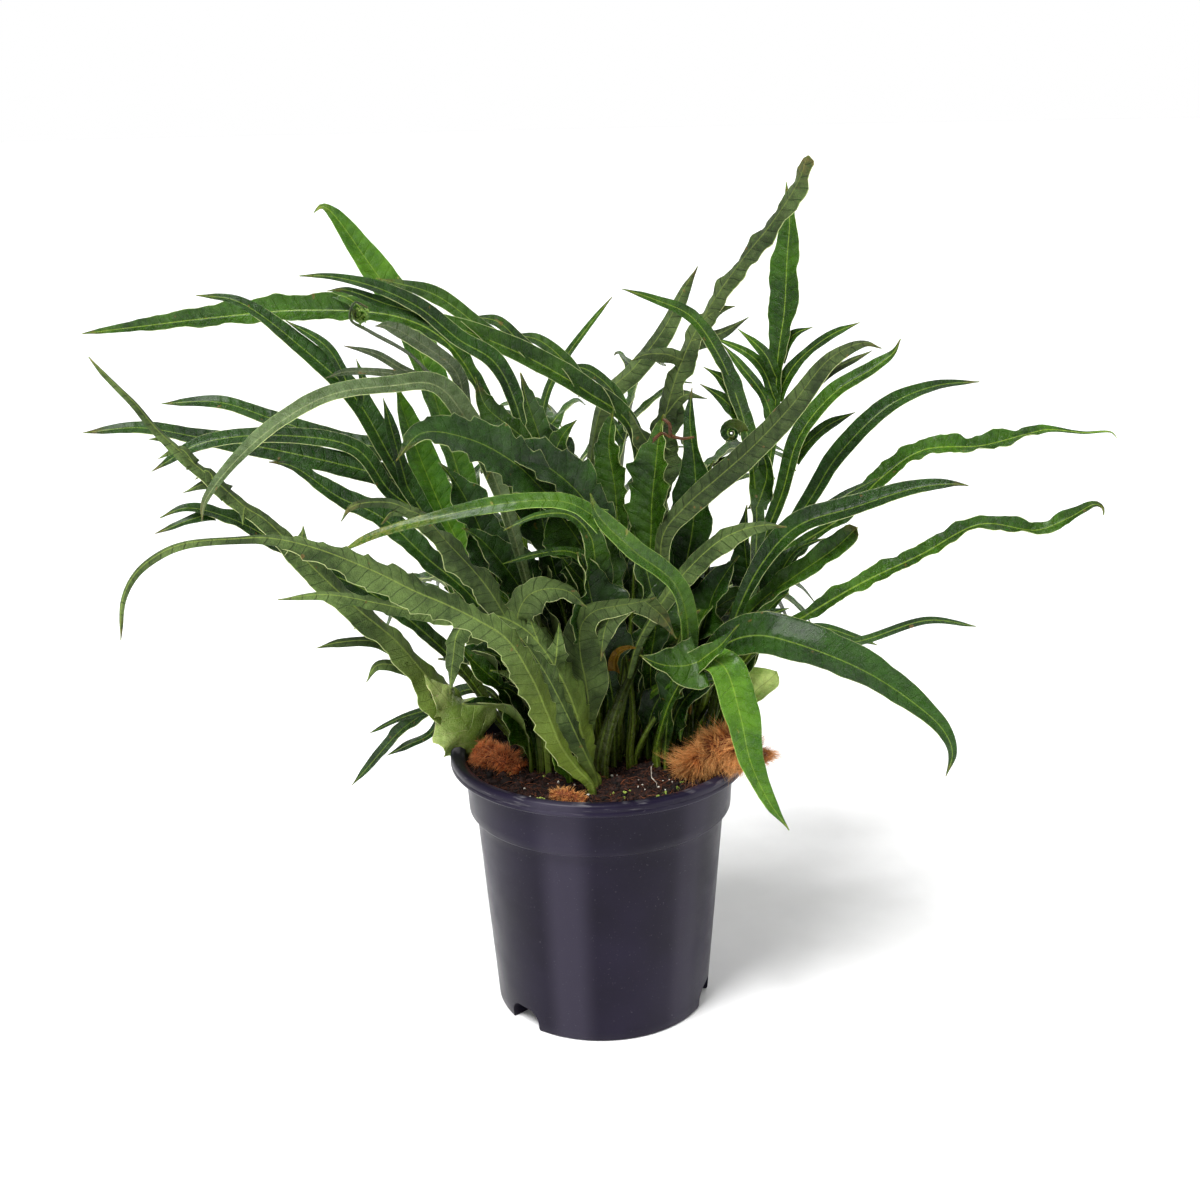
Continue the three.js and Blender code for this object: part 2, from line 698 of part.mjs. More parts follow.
      [180, 264, 24, 9], [213, 281, 28, 8], [247, 280, 32, 8], [269, 285, 34, 7],
      [284, 286, 36, 2],
    ],
  },
  shield_leaf_right: {
    finish: "papery",
    base: [68, 3],
    spine: [[77, 176, 0, 8], [88, 187, -2, 19], [98, 195, -4, 17], [107, 203, -6, 4]],
  },
  frond_low_left: {
    finish: "dark",
    base: [-56, -40],
    spine: [
      [-60, 187, -47, 4], [-74, 190, -56, 7], [-91, 181, -64, 8], [-112, 167, -72, 8],
      [-133, 144, -78, 6], [-143, 133, -80, 2],
    ],
    lobes: [
      { reach: 8, points: [[-84, 183, 5], [-96, 164, 5], [-110, 157, 5], [-122, 151, 2]] },
      { reach: -12, points: [[-93, 179, 5], [-112, 174, 4], [-131, 165, 2]] },
    ],
  },
};

// Fronds at the back, in plain millimetres [x, y, z] behind the pot's axis. Their side lobes
// stand in pairs along the spine, shorter towards the tip, with a seeded spread.
const backFronds = {
  frond_back_left: [[-30, 52], [[-42, 84, 210], [-66, 128, 262], [-96, 170, 274], [-122, 206, 240]]],
  frond_back_middle: [[-12, 60], [[-16, 92, 240], [-26, 138, 306], [-38, 186, 318], [-48, 226, 286]]],
  frond_back_tall: [[6, 58], [[12, 84, 250], [22, 112, 324], [34, 144, 352], [48, 180, 344]]],
  frond_back_right: [[22, 56], [[42, 92, 226], [70, 136, 282], [98, 174, 290], [122, 204, 262]]],
  frond_back_low_left: [[-50, 36], [[-74, 74, 196], [-98, 112, 222], [-124, 144, 206], [-142, 166, 172]]],
  frond_back_low_right: [[44, 54], [[64, 92, 190], [88, 132, 214], [112, 166, 200], [132, 190, 164]]],
};
const BACK_ROLL = 70;
const BACK_WIDTH = 13;
const BACK_LOBE_WIDTH = 9;
const BACK_LOBE_PAIRS = 3;
const BACK_LOBE_LENGTH = 58;
const SEED = 7;

// Numbers between 0 and 1 that are the same in every run.
function seededDraws(seed) {
  let state = seed;
  return () => {
    state = (state * 16807) % 2147483647;
    return state / 2147483647;
  };
}

function backFrond([base, spine], draw) {
  const points = [
    new THREE.Vector3(base[0], base[1], SOIL_TOP - STALK_DEPTH),
    new THREE.Vector3(base[0], base[1], SOIL_TOP + STALK_RISE),
    ...spine.map((place) => new THREE.Vector3(...place)),
  ];
  const widths = [STALK_WIDTH, STALK_WIDTH, 5, BACK_WIDTH, BACK_WIDTH, 3];
  const main = spineBlade(points, widths, BACK_ROLL);
  let solid = main.solid;
  for (let pair = 0; pair < BACK_LOBE_PAIRS; pair++) {
    for (const hand of [-1, 1]) {
      const share = 0.5 + 0.16 * pair + 0.02 * hand;
      const root = main.curve.getPointAt(share);
      const tangent = main.curve.getTangentAt(share);
      const side = new THREE.Vector3().crossVectors(tangent, new THREE.Vector3(0, 0, 1)).normalize();
      const length = BACK_LOBE_LENGTH * (1 - 0.22 * pair) * (0.85 + 0.3 * draw());
      const reach = (along, out, rise) =>
        root
          .clone()
          .addScaledVector(tangent, along * length)
          .addScaledVector(side, hand * out * length)
          .add(new THREE.Vector3(0, 0, rise * length));
      const lobePoints = [root, reach(0.25, 0.3, 0.08), reach(0.55, 0.55, 0.02), reach(0.8, 0.72, -0.2)];
      const lobeWidths = [BACK_LOBE_WIDTH, BACK_LOBE_WIDTH, BACK_LOBE_WIDTH * 0.8, 2];
      solid = solid.add(lobeBlade(lobePoints, lobeWidths, BACK_ROLL));
    }
  }
  return solid;
}

// Pot, soil and rhizomes

const inside = (radius) => radius - WALL;

// The pot's outer form, from the axis at the foot to the lip, and on to its inner edge
const outerProfile = [
  [0, 0],
  [FOOT_RADIUS - 1.2, 0],
  [FOOT_RADIUS, 1.2],
  [BODY_TOP_RADIUS, COLLAR_STEP - 1],
  [COLLAR_FOOT_RADIUS, COLLAR_STEP],
  [COLLAR_RADIUS, RIM_TOP - LIP_HEIGHT],
  [RIM_RADIUS - 1, RIM_TOP - LIP_HEIGHT],
  [RIM_RADIUS, RIM_TOP - LIP_HEIGHT + 1.5],
  [RIM_RADIUS, RIM_TOP - 1.5],
  [RIM_RADIUS - 1.5, RIM_TOP],
  [RIM_RADIUS - 5, RIM_TOP],
];

const innerProfile = [
  [COLLAR_RADIUS, RIM_TOP - 2],
  [inside(COLLAR_RADIUS), RIM_TOP - LIP_HEIGHT - 1],
  [inside(COLLAR_FOOT_RADIUS), COLLAR_STEP + WALL],
  [inside(BODY_TOP_RADIUS), COLLAR_STEP],
  [inside(FOOT_RADIUS), 2],
  [0, 2],
];

// An arched block that lies along the pot's radius, from near to far of the axis.
function archBlock(width, height, near, far, angle) {
  const shoulder = width * 0.36;
  const arch = new THREE.Shape();
  arch.moveTo(-width / 2, -1);
  arch.lineTo(width / 2, -1);
  arch.lineTo(width / 2, height - shoulder);
  arch.absarc(width / 2 - shoulder, height - shoulder, shoulder, 0, Math.PI / 2);
  arch.absarc(shoulder - width / 2, height - shoulder, shoulder, Math.PI / 2, Math.PI);
  const block = new THREE.ExtrudeGeometry(arch, {
    depth: far - near,
    bevelEnabled: false,
    curveSegments: 3,
  });
  block.rotateX(Math.PI / 2).translate(0, -near, 0);
  return toManifold(block.rotateZ(THREE.MathUtils.degToRad(angle)));
}

const notchFar = FOOT_RADIUS + 6;
const notchNear = FOOT_RADIUS - NOTCH_DEPTH;

function pocketWalls(angle, spare = 0) {
  const width = NOTCH_WIDTH + 2 * WALL + 2 * spare;
  return archBlock(width, NOTCH_HEIGHT + WALL + spare, notchNear - WALL - spare, notchFar, angle);
}

function potSolid() {
  const filled = turned([...outerProfile, [0, RIM_TOP]], POT_SIDES);
  const floorUp = turned([[0, 0], [RIM_RADIUS + 5, 0], [RIM_RADIUS + 5, RIM_TOP], [0, RIM_TOP]], 8);
  let pot = turned([...outerProfile, ...innerProfile], POT_SIDES);
  for (const angle of NOTCH_ANGLES) {
    pot = pot.add(pocketWalls(angle).intersect(filled).intersect(floorUp));
    pot = pot.subtract(archBlock(NOTCH_WIDTH, NOTCH_HEIGHT, notchNear, notchFar, angle));
  }
  return pot;
}

// The soil's surface lies in low lumps.
function soilHeight(x, y) {
  const lumps = Math.sin(x / 8) * Math.cos(y / 7) + 0.6 * Math.sin((x + y) / 5);
  return SOIL_TOP + 0.9 * lumps;
}

function soilSolid(rhizomeHollows, bases) {
  const sides = POT_SIDES / 2;
  const wallProfile = innerProfile
    .slice(1, -1)
    .map(([radius, z]) => [radius - SOIL_CLEARANCE / Math.cos(Math.PI / sides), z]);
  wallProfile[0][1] = SOIL_TOP;
  wallProfile.at(-1)[1] = 2 + SOIL_CLEARANCE;
  const rings = [0.3, 0.6, 0.85].map((share) => share * wallProfile[0][0]);
  const points = [new THREE.Vector3(0, 0, soilHeight(0, 0))];
  const addRing = (radius, height) => {
    for (let j = 0; j < sides; j++) {
      const turn = (2 * Math.PI * j) / sides;
      const x = radius * Math.sin(turn);
      const y = -radius * Math.cos(turn);
      points.push(new THREE.Vector3(x, y, height ?? soilHeight(x, y)));
    }
  };
  rings.forEach((radius) => addRing(radius));
  wallProfile.forEach(([radius, z]) => addRing(radius, z));
  points.push(new THREE.Vector3(0, 0, 2 + SOIL_CLEARANCE));
  const ringCount = rings.length + wallProfile.length;
  const triangles = [];
  for (let j = 0; j < sides; j++) {
    const next = (j + 1) % sides;
    triangles.push([0, 1 + j, 1 + next]);
    for (let ring = 0; ring < ringCount - 1; ring++) {
      const upper = 1 + ring * sides;
      const lower = upper + sides;
      triangles.push([upper + j, lower + j, lower + next]);
      triangles.push([upper + j, lower + next, upper + next]);
    }
    const bottom = 1 + (ringCount - 1) * sides;
    triangles.push([points.length - 1, bottom + next, bottom + j]);
  }
  let soil = toManifold(geometryFrom(points, triangles));
  for (const angle of NOTCH_ANGLES) soil = soil.subtract(pocketWalls(angle, SOIL_CLEARANCE));
  for (const hollow of rhizomeHollows) soil = soil.subtract(hollow);
  const holeHeight = 2 * (STALK_DEPTH + SOIL_CLEARANCE);
  for (const [x, y] of bases) {
    const hole = new THREE.CylinderGeometry(STALK_HOLE_RADIUS, STALK_HOLE_RADIUS, holeHeight, 4);
    hole.rotateX(Math.PI / 2).translate(x, y, SOIL_TOP);
    soil = soil.subtract(toManifold(hole));
  }
  return soil;
}

const rhizomes = {
  rhizome_left: {
    places: [[-70, -2, 153], [-62, -8, 152], [-52, -14, 150], [-44, -18, 147]],
    radii: [5, 8, 7, 4],
  },
  rhizome_right: {
    places: [[46, -25, 147], [56, -31, 156], [66, -38, 168], [78, -45, 170], [89, -51, 162]],
    radii: [5, 7, 9.5, 8.5, 4.5],
  },
  rhizome_front: {
    places: [[-26, -54, 147], [-18, -60, 149], [-8, -64, 147]],
    radii: [4, 6, 4],
  },
};

function rhizomeSolid({ places, radii }, spare = 0) {
  const points = places.map((place) => new THREE.Vector3(...place));
  return rod(points, radii.map((radius) => radius + spare), 8, 6);
}

// The whole plant

const plant = new THREE.Group();

function addPiece(name, solid, finish) {
  const mesh = new THREE.Mesh(toGeometry(solid), new THREE.MeshStandardMaterial(finishes[finish]));
  mesh.name = name;
  plant.add(mesh);
}

const bases = [
  ...Object.values(seenFronds).map(({ base }) => [base[0], -base[1]]),
  ...Object.values(backFronds).map(([base]) => base),
];
const hollows = Object.values(rhizomes).map((rhizome) => rhizomeSolid(rhizome, SOIL_CLEARANCE));

addPiece("pot", potSolid(), "pot");
addPiece("soil", soilSolid(hollows, bases), "soil");
for (const [name, rhizome] of Object.entries(rhizomes)) addPiece(name, rhizomeSolid(rhizome), "fur");
for (const [name, description] of Object.entries(seenFronds))
  addPiece(name, frond(description), description.finish);
const draw = seededDraws(SEED);
for (const [name, description] of Object.entries(backFronds))
  addPiece(name, backFrond(description, draw), "deep");

export default plant;
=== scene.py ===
"""A crown fern in a dark nursery pot, dressed for a studio picture.

The pot, the soil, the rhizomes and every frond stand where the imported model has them, as finer
surfaces with their veins, margins, fur, fibres and dust. Lengths are in millimetres unless a name
says otherwise, and become metres as they enter a mesh. The front is -Y, up is +Z, and the origin
is the centre of the pot's foot. Colours are the red, green and blue of a screen, 0 to 255.
"""

import logging
import math
from collections.abc import Iterator, Sequence
from dataclasses import dataclass, field
from enum import Enum

import bpy
import numpy as np
from mathutils import Matrix, Vector


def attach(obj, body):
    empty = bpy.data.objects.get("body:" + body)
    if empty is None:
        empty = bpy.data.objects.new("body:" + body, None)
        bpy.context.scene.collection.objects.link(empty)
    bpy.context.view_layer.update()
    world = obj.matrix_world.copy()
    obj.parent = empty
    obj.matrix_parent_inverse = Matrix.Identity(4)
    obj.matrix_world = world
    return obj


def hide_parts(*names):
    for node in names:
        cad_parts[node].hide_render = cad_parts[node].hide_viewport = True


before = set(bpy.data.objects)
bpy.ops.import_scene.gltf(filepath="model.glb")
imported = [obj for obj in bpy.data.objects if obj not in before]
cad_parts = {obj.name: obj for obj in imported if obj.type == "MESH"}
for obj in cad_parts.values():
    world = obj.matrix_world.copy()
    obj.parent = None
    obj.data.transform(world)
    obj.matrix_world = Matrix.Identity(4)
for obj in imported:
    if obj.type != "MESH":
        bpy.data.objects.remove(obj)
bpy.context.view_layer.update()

log = logging.getLogger("fern")

METRE = 0.001
SEED = 20
TURN = 2 * math.pi

# The eye that the fronds are drawn for, which is also the camera
EYE = np.array([2.3, -853.0, 504.0])
EYE_PITCH = 0.298
EYE_ROLL = 0.020
LENS = 48.0
SENSOR = 36.0

# The pot and its soil
RIM_RADIUS = 85.0
RIM_TOP = 155.5
LIP_HEIGHT = 7.5
COLLAR_RADIUS = 77.0
COLLAR_FOOT_RADIUS = 75.4
COLLAR_STEP = 121.0
BODY_TOP_RADIUS = 71.3
FOOT_RADIUS = 62.3
FLOOR_THICKNESS = 2.0
WALL = 1.5
NOTCH_ANGLES = (-47.0, 73.0, 193.0)
NOTCH_WIDTH = 22.0
NOTCH_HEIGHT = 12.0
NOTCH_DEPTH = 14.0
SOIL_TOP = 147.0

# The fronds
STALK_DEPTH = 11.0
STALK_RISE = 4.0
STALK_WIDTH = 4.0
STALK_THICKNESS = 3.0
BLADE_THICKNESS = 0.7
FACE_ROLL = 32.0
FACING = math.cos(math.radians(FACE_ROLL))
BACK_ROLL = 70.0
TIP_SLIMMING = 0.35
LOBE_SINK = 0.35
BRIGHT_FROM = 50
VEIN_GAP = 6.5
VEIN_SLANT = 0.55

Points = Sequence[Sequence[float]]
Colour = tuple[int, int, int]
Draw = np.random.Generator
Material = bpy.types.Material
Object = bpy.types.Object
Array = np.ndarray


def linear(colour: Colour) -> tuple[float, float, float, float]:
    """A screen colour as linear light with full alpha."""
    shares = np.array(colour) / 255
    light = np.where(shares <= 0.04045, shares / 12.92, ((shares + 0.055) / 1.055) ** 2.4)
    return (*light.tolist(), 1.0)


def unit(vectors: Array) -> Array:
    """The vectors at length one, each divided by its own length."""
    return vectors / np.maximum(np.linalg.norm(vectors, axis=-1, keepdims=True), 1e-9)


def smoothstep(low: float, high: float, values: Array) -> Array:
    """Zero below low, one above high, and 3t² - 2t³ between them."""
    share = np.clip((values - low) / (high - low), 0, 1)
    return share * share * (3 - 2 * share)


def seeded(key: int) -> Draw:
    """The random draws of one piece, the same in every run."""
    return np.random.default_rng([SEED, key])


# Meshes


@dataclass
class Skin:
    """A surface as arrays, before it becomes a mesh.

    Attributes:
        points: n x 3 places in millimetres.
        faces: arrays of point numbers, one row a face, all rows of an array equally long.
        marks: n x 3 values for each point that the materials read, by name.
    """

    points: Array
    faces: list[Array]
    marks: dict[str, Array] = field(default_factory=dict)


def joined(skins: Sequence[Skin]) -> Skin:
    """One skin of several, with the point numbers of each moved past those before it."""
    starts = np.cumsum([0] + [len(skin.points) for skin in skins[:-1]])
    faces = [rows + start for skin, start in zip(skins, starts) for rows in skin.faces]
    marks = {name: np.vstack([skin.marks[name] for skin in skins]) for name in skins[0].marks}
    return Skin(np.vstack([skin.points for skin in skins]), faces, marks)


def tube_faces(rings: int, count: int, capped: bool = True) -> list[Array]:
    """The faces over closed rings of points that follow each other, with a flat cap at each end.

    Args:
        rings: how many rings there are.
        count: the points of a ring, in the order that faces outwards as the rings go on.
        capped: whether both ends are closed.
    """
    here = np.arange(rings - 1)[:, None] * count
    a = np.arange(count)[None, :]
    b = (a + 1) % count
    sides = np.stack([here + a, here + b, here + b + count, here + a + count], axis=-1)
    faces = [sides.reshape(-1, 4)]
    if capped:
        faces.append(np.arange(count)[None, ::-1])
        faces.append((rings - 1) * count + np.arange(count)[None, :])
    return faces


def circles(radii: Array, heights: Array | float, sides: int) -> Array:
    """Rings of places round the pot's axis, each from the front towards +X.

    Args:
        radii: the radius of each ring.
        heights: one height for all, or a column of them.
        sides: the places of a ring.
    """
    turns = np.linspace(0, TURN, sides, endpoint=False)
    x = radii[:, None] * np.sin(turns)
    y = -radii[:, None] * np.cos(turns)
    return np.stack([x, y, np.broadcast_to(heights, x.shape)], axis=-1)


def round_body(rings: Array, low: float, high: float) -> Skin:
    """The skin over circles, closed at each end by a point on the axis.

    Args:
        rings: the circles, from the low end on.
        low: the height of the point that closes the first.
        high: the height of the point that closes the last.
    """
    count, sides = rings.shape[:2]
    points = np.vstack([rings.reshape(-1, 3), [[0, 0, low], [0, 0, high]]])
    faces = tube_faces(count, sides, capped=False)
    here = np.arange(sides)
    after = (here + 1) % sides
    pole = np.full(sides, count * sides)
    last = (count - 1) * sides
    faces.append(np.column_stack([pole, after, here]))
    faces.append(np.column_stack([pole + 1, last + here, last + after]))
    return Skin(points, faces)


def place_object(name: str, data: bpy.types.ID) -> Object:
    """A new object that holds a mesh, a lamp or a camera, in the scene's own collection."""
    made = bpy.data.objects.new(name, data)
    bpy.context.scene.collection.objects.link(made)
    return made


def make_piece(
    name: str, skin: Skin, material: Material, replaces: Sequence[str] = ()
) -> Object:
    """A smooth-shaded mesh object of a skin, which rides on the plant's one body.

    Args:
        name: the piece's name.
        skin: its surface.
        material: its finish.
        replaces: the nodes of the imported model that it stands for.

    Returns:
        The object, at the origin.
    """
    mesh = bpy.data.meshes.new(name)
    corners = np.concatenate([rows.ravel() for rows in skin.faces])
    totals = np.concatenate([np.full(len(rows), rows.shape[1]) for rows in skin.faces])
    mesh.vertices.add(len(skin.points))
    mesh.vertices.foreach_set("co", (skin.points * METRE).astype(np.float32).ravel())
    mesh.loops.add(len(corners))
    mesh.loops.foreach_set("vertex_index", corners.astype(np.int32))
    mesh.polygons.add(len(totals))
    mesh.polygons.foreach_set("loop_start", (np.cumsum(totals) - totals).astype(np.int32))
    mesh.polygons.foreach_set("use_smooth", np.ones(len(totals), bool))
    for label, values in skin.marks.items():
        mark = mesh.attributes.new(label, "FLOAT_VECTOR", "POINT")
        mark.data.foreach_set("vector", values.astype(np.float32).ravel())
    mesh.update(calc_edges=True)
    mesh.validate()
    mesh.materials.append(material)
    piece = place_object(name, mesh)
    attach(piece, "root")
    if replaces:
        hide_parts(*replaces)
    log.info("%s: %d points, %d faces", name, len(skin.points), len(totals))
    return piece


# Curves


def catmull_rom(points: Array, per_span: int = 24) -> tuple[Array, Array]:
    """A smooth curve through points: a centripetal Catmull-Rom spline.

    Each span between two points is a cubic that leaves and meets them along tangents worked out
    from the neighbours, with every difference divided by the square root of its own chord.

    Args:
        points: k x 3 places.
        per_span: samples of each span.

    Returns:
        The samples, and the place of each in the list of points, from 0 to k - 1.
    """
    ends = np.vstack([2 * points[0] - points[1], points, 2 * points[-1] - points[-2]])
    p0, p1, p2, p3 = ends[:-3], ends[1:-2], ends[2:-1], ends[3:]
    d0, d1, d2 = (
        np.sqrt(np.linalg.norm(b - a, axis=1, keepdims=True))
        for a, b in ((p0, p1), (p1, p2), (p2, p3))
    )
    leave = ((p1 - p0) / d0 - (p2 - p0) / (d0 + d1) + (p2 - p1) / d1) * d1
    meet = ((p2 - p1) / d1 - (p3 - p1) / (d1 + d2) + (p3 - p2) / d2) * d1
    t = np.linspace(0, 1, per_span, endpoint=False)[:, None, None]
    cubic = (
        p1
        + t * leave
        + t**2 * (3 * (p2 - p1) - 2 * leave - meet)
        + t**3 * (2 * (p1 - p2) + leave + meet)
    )
    samples = np.vstack([cubic.transpose(1, 0, 2).reshape(-1, 3), points[-1]])
    spans = len(points) - 1
    places = np.append((np.arange(spans)[:, None] + t[:, 0, 0]).ravel(), spans)
    return samples, places


def from_drawing(drawn: Array) -> Array:
    """Places of points that are drawn on the upright plane through the pot's axis.

    Each point slides along its line of sight towards the eye until it stands as far forward of
    that plane as its third number says.

    Args:
        drawn: k rows of x, z and forward.
    """
    x, z, forward = drawn.T
    nearer = 1 + forward / EYE[1]
    return np.column_stack([EYE[0] + (x - EYE[0]) * nearer, -forward, EYE[2] + (z - EYE[2]) * nearer])


def seen_from_eye(places: Array) -> Array:
    """Where the eye sees places on the upright plane through the pot's axis, as rows of x, z."""
    nearer = (1 - places[:, 1] / EYE[1])[:, None]
    return EYE[[0, 2]] + (places[:, [0, 2]] - EYE[[0, 2]]) / nearer


def stalk_foot(x: float, y: float) -> Array:
    """The two ends of a stalk's upright foot, in the soil and just over it."""
    return np.array([[x, y, SOIL_TOP - STALK_DEPTH], [x, y, SOIL_TOP + STALK_RISE]])


@dataclass
class Ribbon:
    """The middle line of a blade with its own frame at each station.

    Attributes:
        centre: places.
        across: unit vectors to the blade's side.
        face: unit vectors out of the face that the eye sees.
        arc: millimetres from the start.
        width: full width.
        share: 0 at the start to 1 at the end.
    """

    centre: Array
    across: Array
    face: Array
    arc: Array
    width: Array
    share: Array

    def places(self, x: Array, z: Array) -> Array:
        """The places x to the side of each station and z out of its face, a row a station."""
        sides, faces = self.across[:, None], self.face[:, None]
        return self.centre[:, None] + sides * x[:, :, None] + faces * z[:, :, None]


def around(front: Array, back: Array) -> Array:
    """Rows that run across the front and come back over the back, between the same two ends."""
    return np.hstack([front, back[:, -2:0:-1]])


def ribbon(
    points: Array,
    widths: Sequence[float],
    roll: float,
    step: float,
    twist: tuple[float, float] = (0.0, 0.0),
    root_face: Array | None = None,
) -> Ribbon:
    """Lays stations along a curve and turns a frame at each towards the eye and the sky.

    The face starts as the direction to the eye, made square to the curve, and turns by the roll
    towards the side that is up. A twist adds amplitude times the sine of its phase plus 1.3 turns
    of the share, fading in from the root.

    Args:
        points: the curve's control points.
        widths: the width at each of them.
        roll: degrees from the eye towards the sky.
        step: millimetres between stations.
        twist: amplitude in degrees and phase in radians.
        root_face: the face that a side lobe leaves its parent with, kept over its first stretch.

    Returns:
        The stations with their frames.
    """
    samples, places = catmull_rom(points)
    lengths = np.append(0, np.cumsum(np.linalg.norm(np.diff(samples, axis=0), axis=1)))
    count = max(round(lengths[-1] / step), 4)
    arc = np.linspace(0, lengths[-1], count + 1)
    centre = np.column_stack([np.interp(arc, lengths, samples[:, i]) for i in range(3)])
    width = np.interp(np.interp(arc, lengths, places), np.arange(len(widths)), widths)
    kernel = np.hanning(max(3, 2 * (count // 14) + 3))
    reach = len(kernel) // 2
    width = np.convolve(np.pad(width, reach, mode="edge"), kernel / kernel.sum(), "valid")
    share = arc / arc[-1]
    tangent = unit(np.gradient(centre, axis=0))
    to_eye = EYE - centre
    to_eye = unit(to_eye - (to_eye * tangent).sum(1, keepdims=True) * tangent)
    leans_left = 1 if points[-1, 0] < points[0, 0] else -1
    skyward = np.cross(tangent, to_eye) * leans_left
    sway = twist[0] * np.sin(twist[1] + 1.3 * TURN * share) * smoothstep(0.1, 0.4, share)
    turn = np.radians(roll + sway)[:, None]
    face = np.cos(turn) * to_eye + np.sin(turn) * skyward
    if root_face is not None:
        own = smoothstep(2, 16, arc)[:, None]
        face = own * face + (1 - own) * root_face
        face = unit(face - (face * tangent).sum(1, keepdims=True) * tangent)
    return Ribbon(centre, np.cross(tangent, face), face, arc, width, share)


# Small bits


def toned(tones: Array, reach: Array | float = 0.0) -> Array:
    """The marks of bits: a tone, how far the tip's colour reaches, and the root's place, 0."""
    return np.column_stack([tones, np.broadcast_to(reach, tones.shape), np.zeros(len(tones))])


def strands(paths: Array, radii: Array, marks: Array) -> Skin:
    """Thin three-sided strands, each from a flat root to a point.

    Args:
        paths: n strands of k places each.
        radii: the radius of each strand at its root; it shrinks as one less the square of the
            share of its length.
        marks: n x 3 values; the third is replaced by the share from root to tip.

    Returns:
        One skin of all strands, with the marks under "bit".
    """
    count, stops, _ = paths.shape
    line = unit(paths[:, -1] - paths[:, 0])
    helper = np.where(np.abs(line[:, 2:]) > 0.8, [[1.0, 0, 0]], [[0, 0, 1.0]])
    side = unit(np.cross(line, helper))
    other = np.cross(line, side)
    turns = np.arange(3) * TURN / 3
    spokes = side[:, None] * np.cos(turns)[:, None] + other[:, None] * np.sin(turns)[:, None]
    shares = np.linspace(0, 1, stops)
    sizes = radii[:, None] * (1 - shares[:-1] ** 2)
    rings = paths[:, :-1, None] + spokes[:, None] * sizes[:, :, None, None]
    points = np.concatenate([rings.reshape(count, -1, 3), paths[:, -1:]], axis=1)
    per = points.shape[1]
    rows = tube_faces(stops - 1, 3)
    last = 3 * (stops - 2)
    tips = np.array([[last + i, last + (i + 1) % 3, per - 1] for i in range(3)])
    starts = (np.arange(count) * per)[:, None, None]
    faces = [(rows[0] + starts).reshape(-1, 4), (rows[1] + starts).reshape(-1, 3)]
    faces.append((tips + starts).reshape(-1, 3))
    values = np.repeat(marks[:, None], per, axis=1)
    values[:, :, 2] = np.append(np.repeat(shares[:-1], 3), 1.0)
    return Skin(points.reshape(-1, 3), faces, {"bit": values.reshape(-1, 3)})


def lumps(places: Array, sizes: Array, tones: Array, draw: Draw) -> Skin:
    """Small rough grains of twenty faces, each an icosahedron with its corners pushed about.

    Args:
        places: n centres.
        sizes: n radii.
        tones: n tones for the material.
        draw: the source of the rough shapes.
    """
    golden = (1 + math.sqrt(5)) / 2
    flat = np.array([[-1, golden, 0], [1, golden, 0], [-1, -golden, 0], [1, -golden, 0]])
    corners = np.vstack([np.roll(flat, i, axis=1) for i in range(3)]) / math.hypot(1, golden)
    sides = np.array([
        [0, 11, 5], [0, 5, 1], [0, 1, 7], [0, 7, 10], [0, 10, 11], [1, 5, 9], [5, 11, 4],
        [11, 10, 2], [10, 7, 6], [7, 1, 8], [3, 9, 4], [3, 4, 2], [3, 2, 6], [3, 6, 8],
        [3, 8, 9], [4, 9, 5], [2, 4, 11], [6, 2, 10], [8, 6, 7], [9, 8, 1],
    ])
    count = len(places)
    rough = draw.uniform(0.6, 1.25, (count, 12, 1))
    squash = draw.uniform(0.55, 1.2, (count, 1, 3))
    points = places[:, None] + corners * rough * squash * sizes[:, None, None]
    faces = (sides + (np.arange(count) * 12)[:, None, None]).reshape(-1, 3)
    return Skin(points.reshape(-1, 3), [faces], {"bit": np.repeat(toned(tones), 12, axis=0)})


# Shader nodes


Socket = bpy.types.NodeSocket
Tree = bpy.types.NodeTree


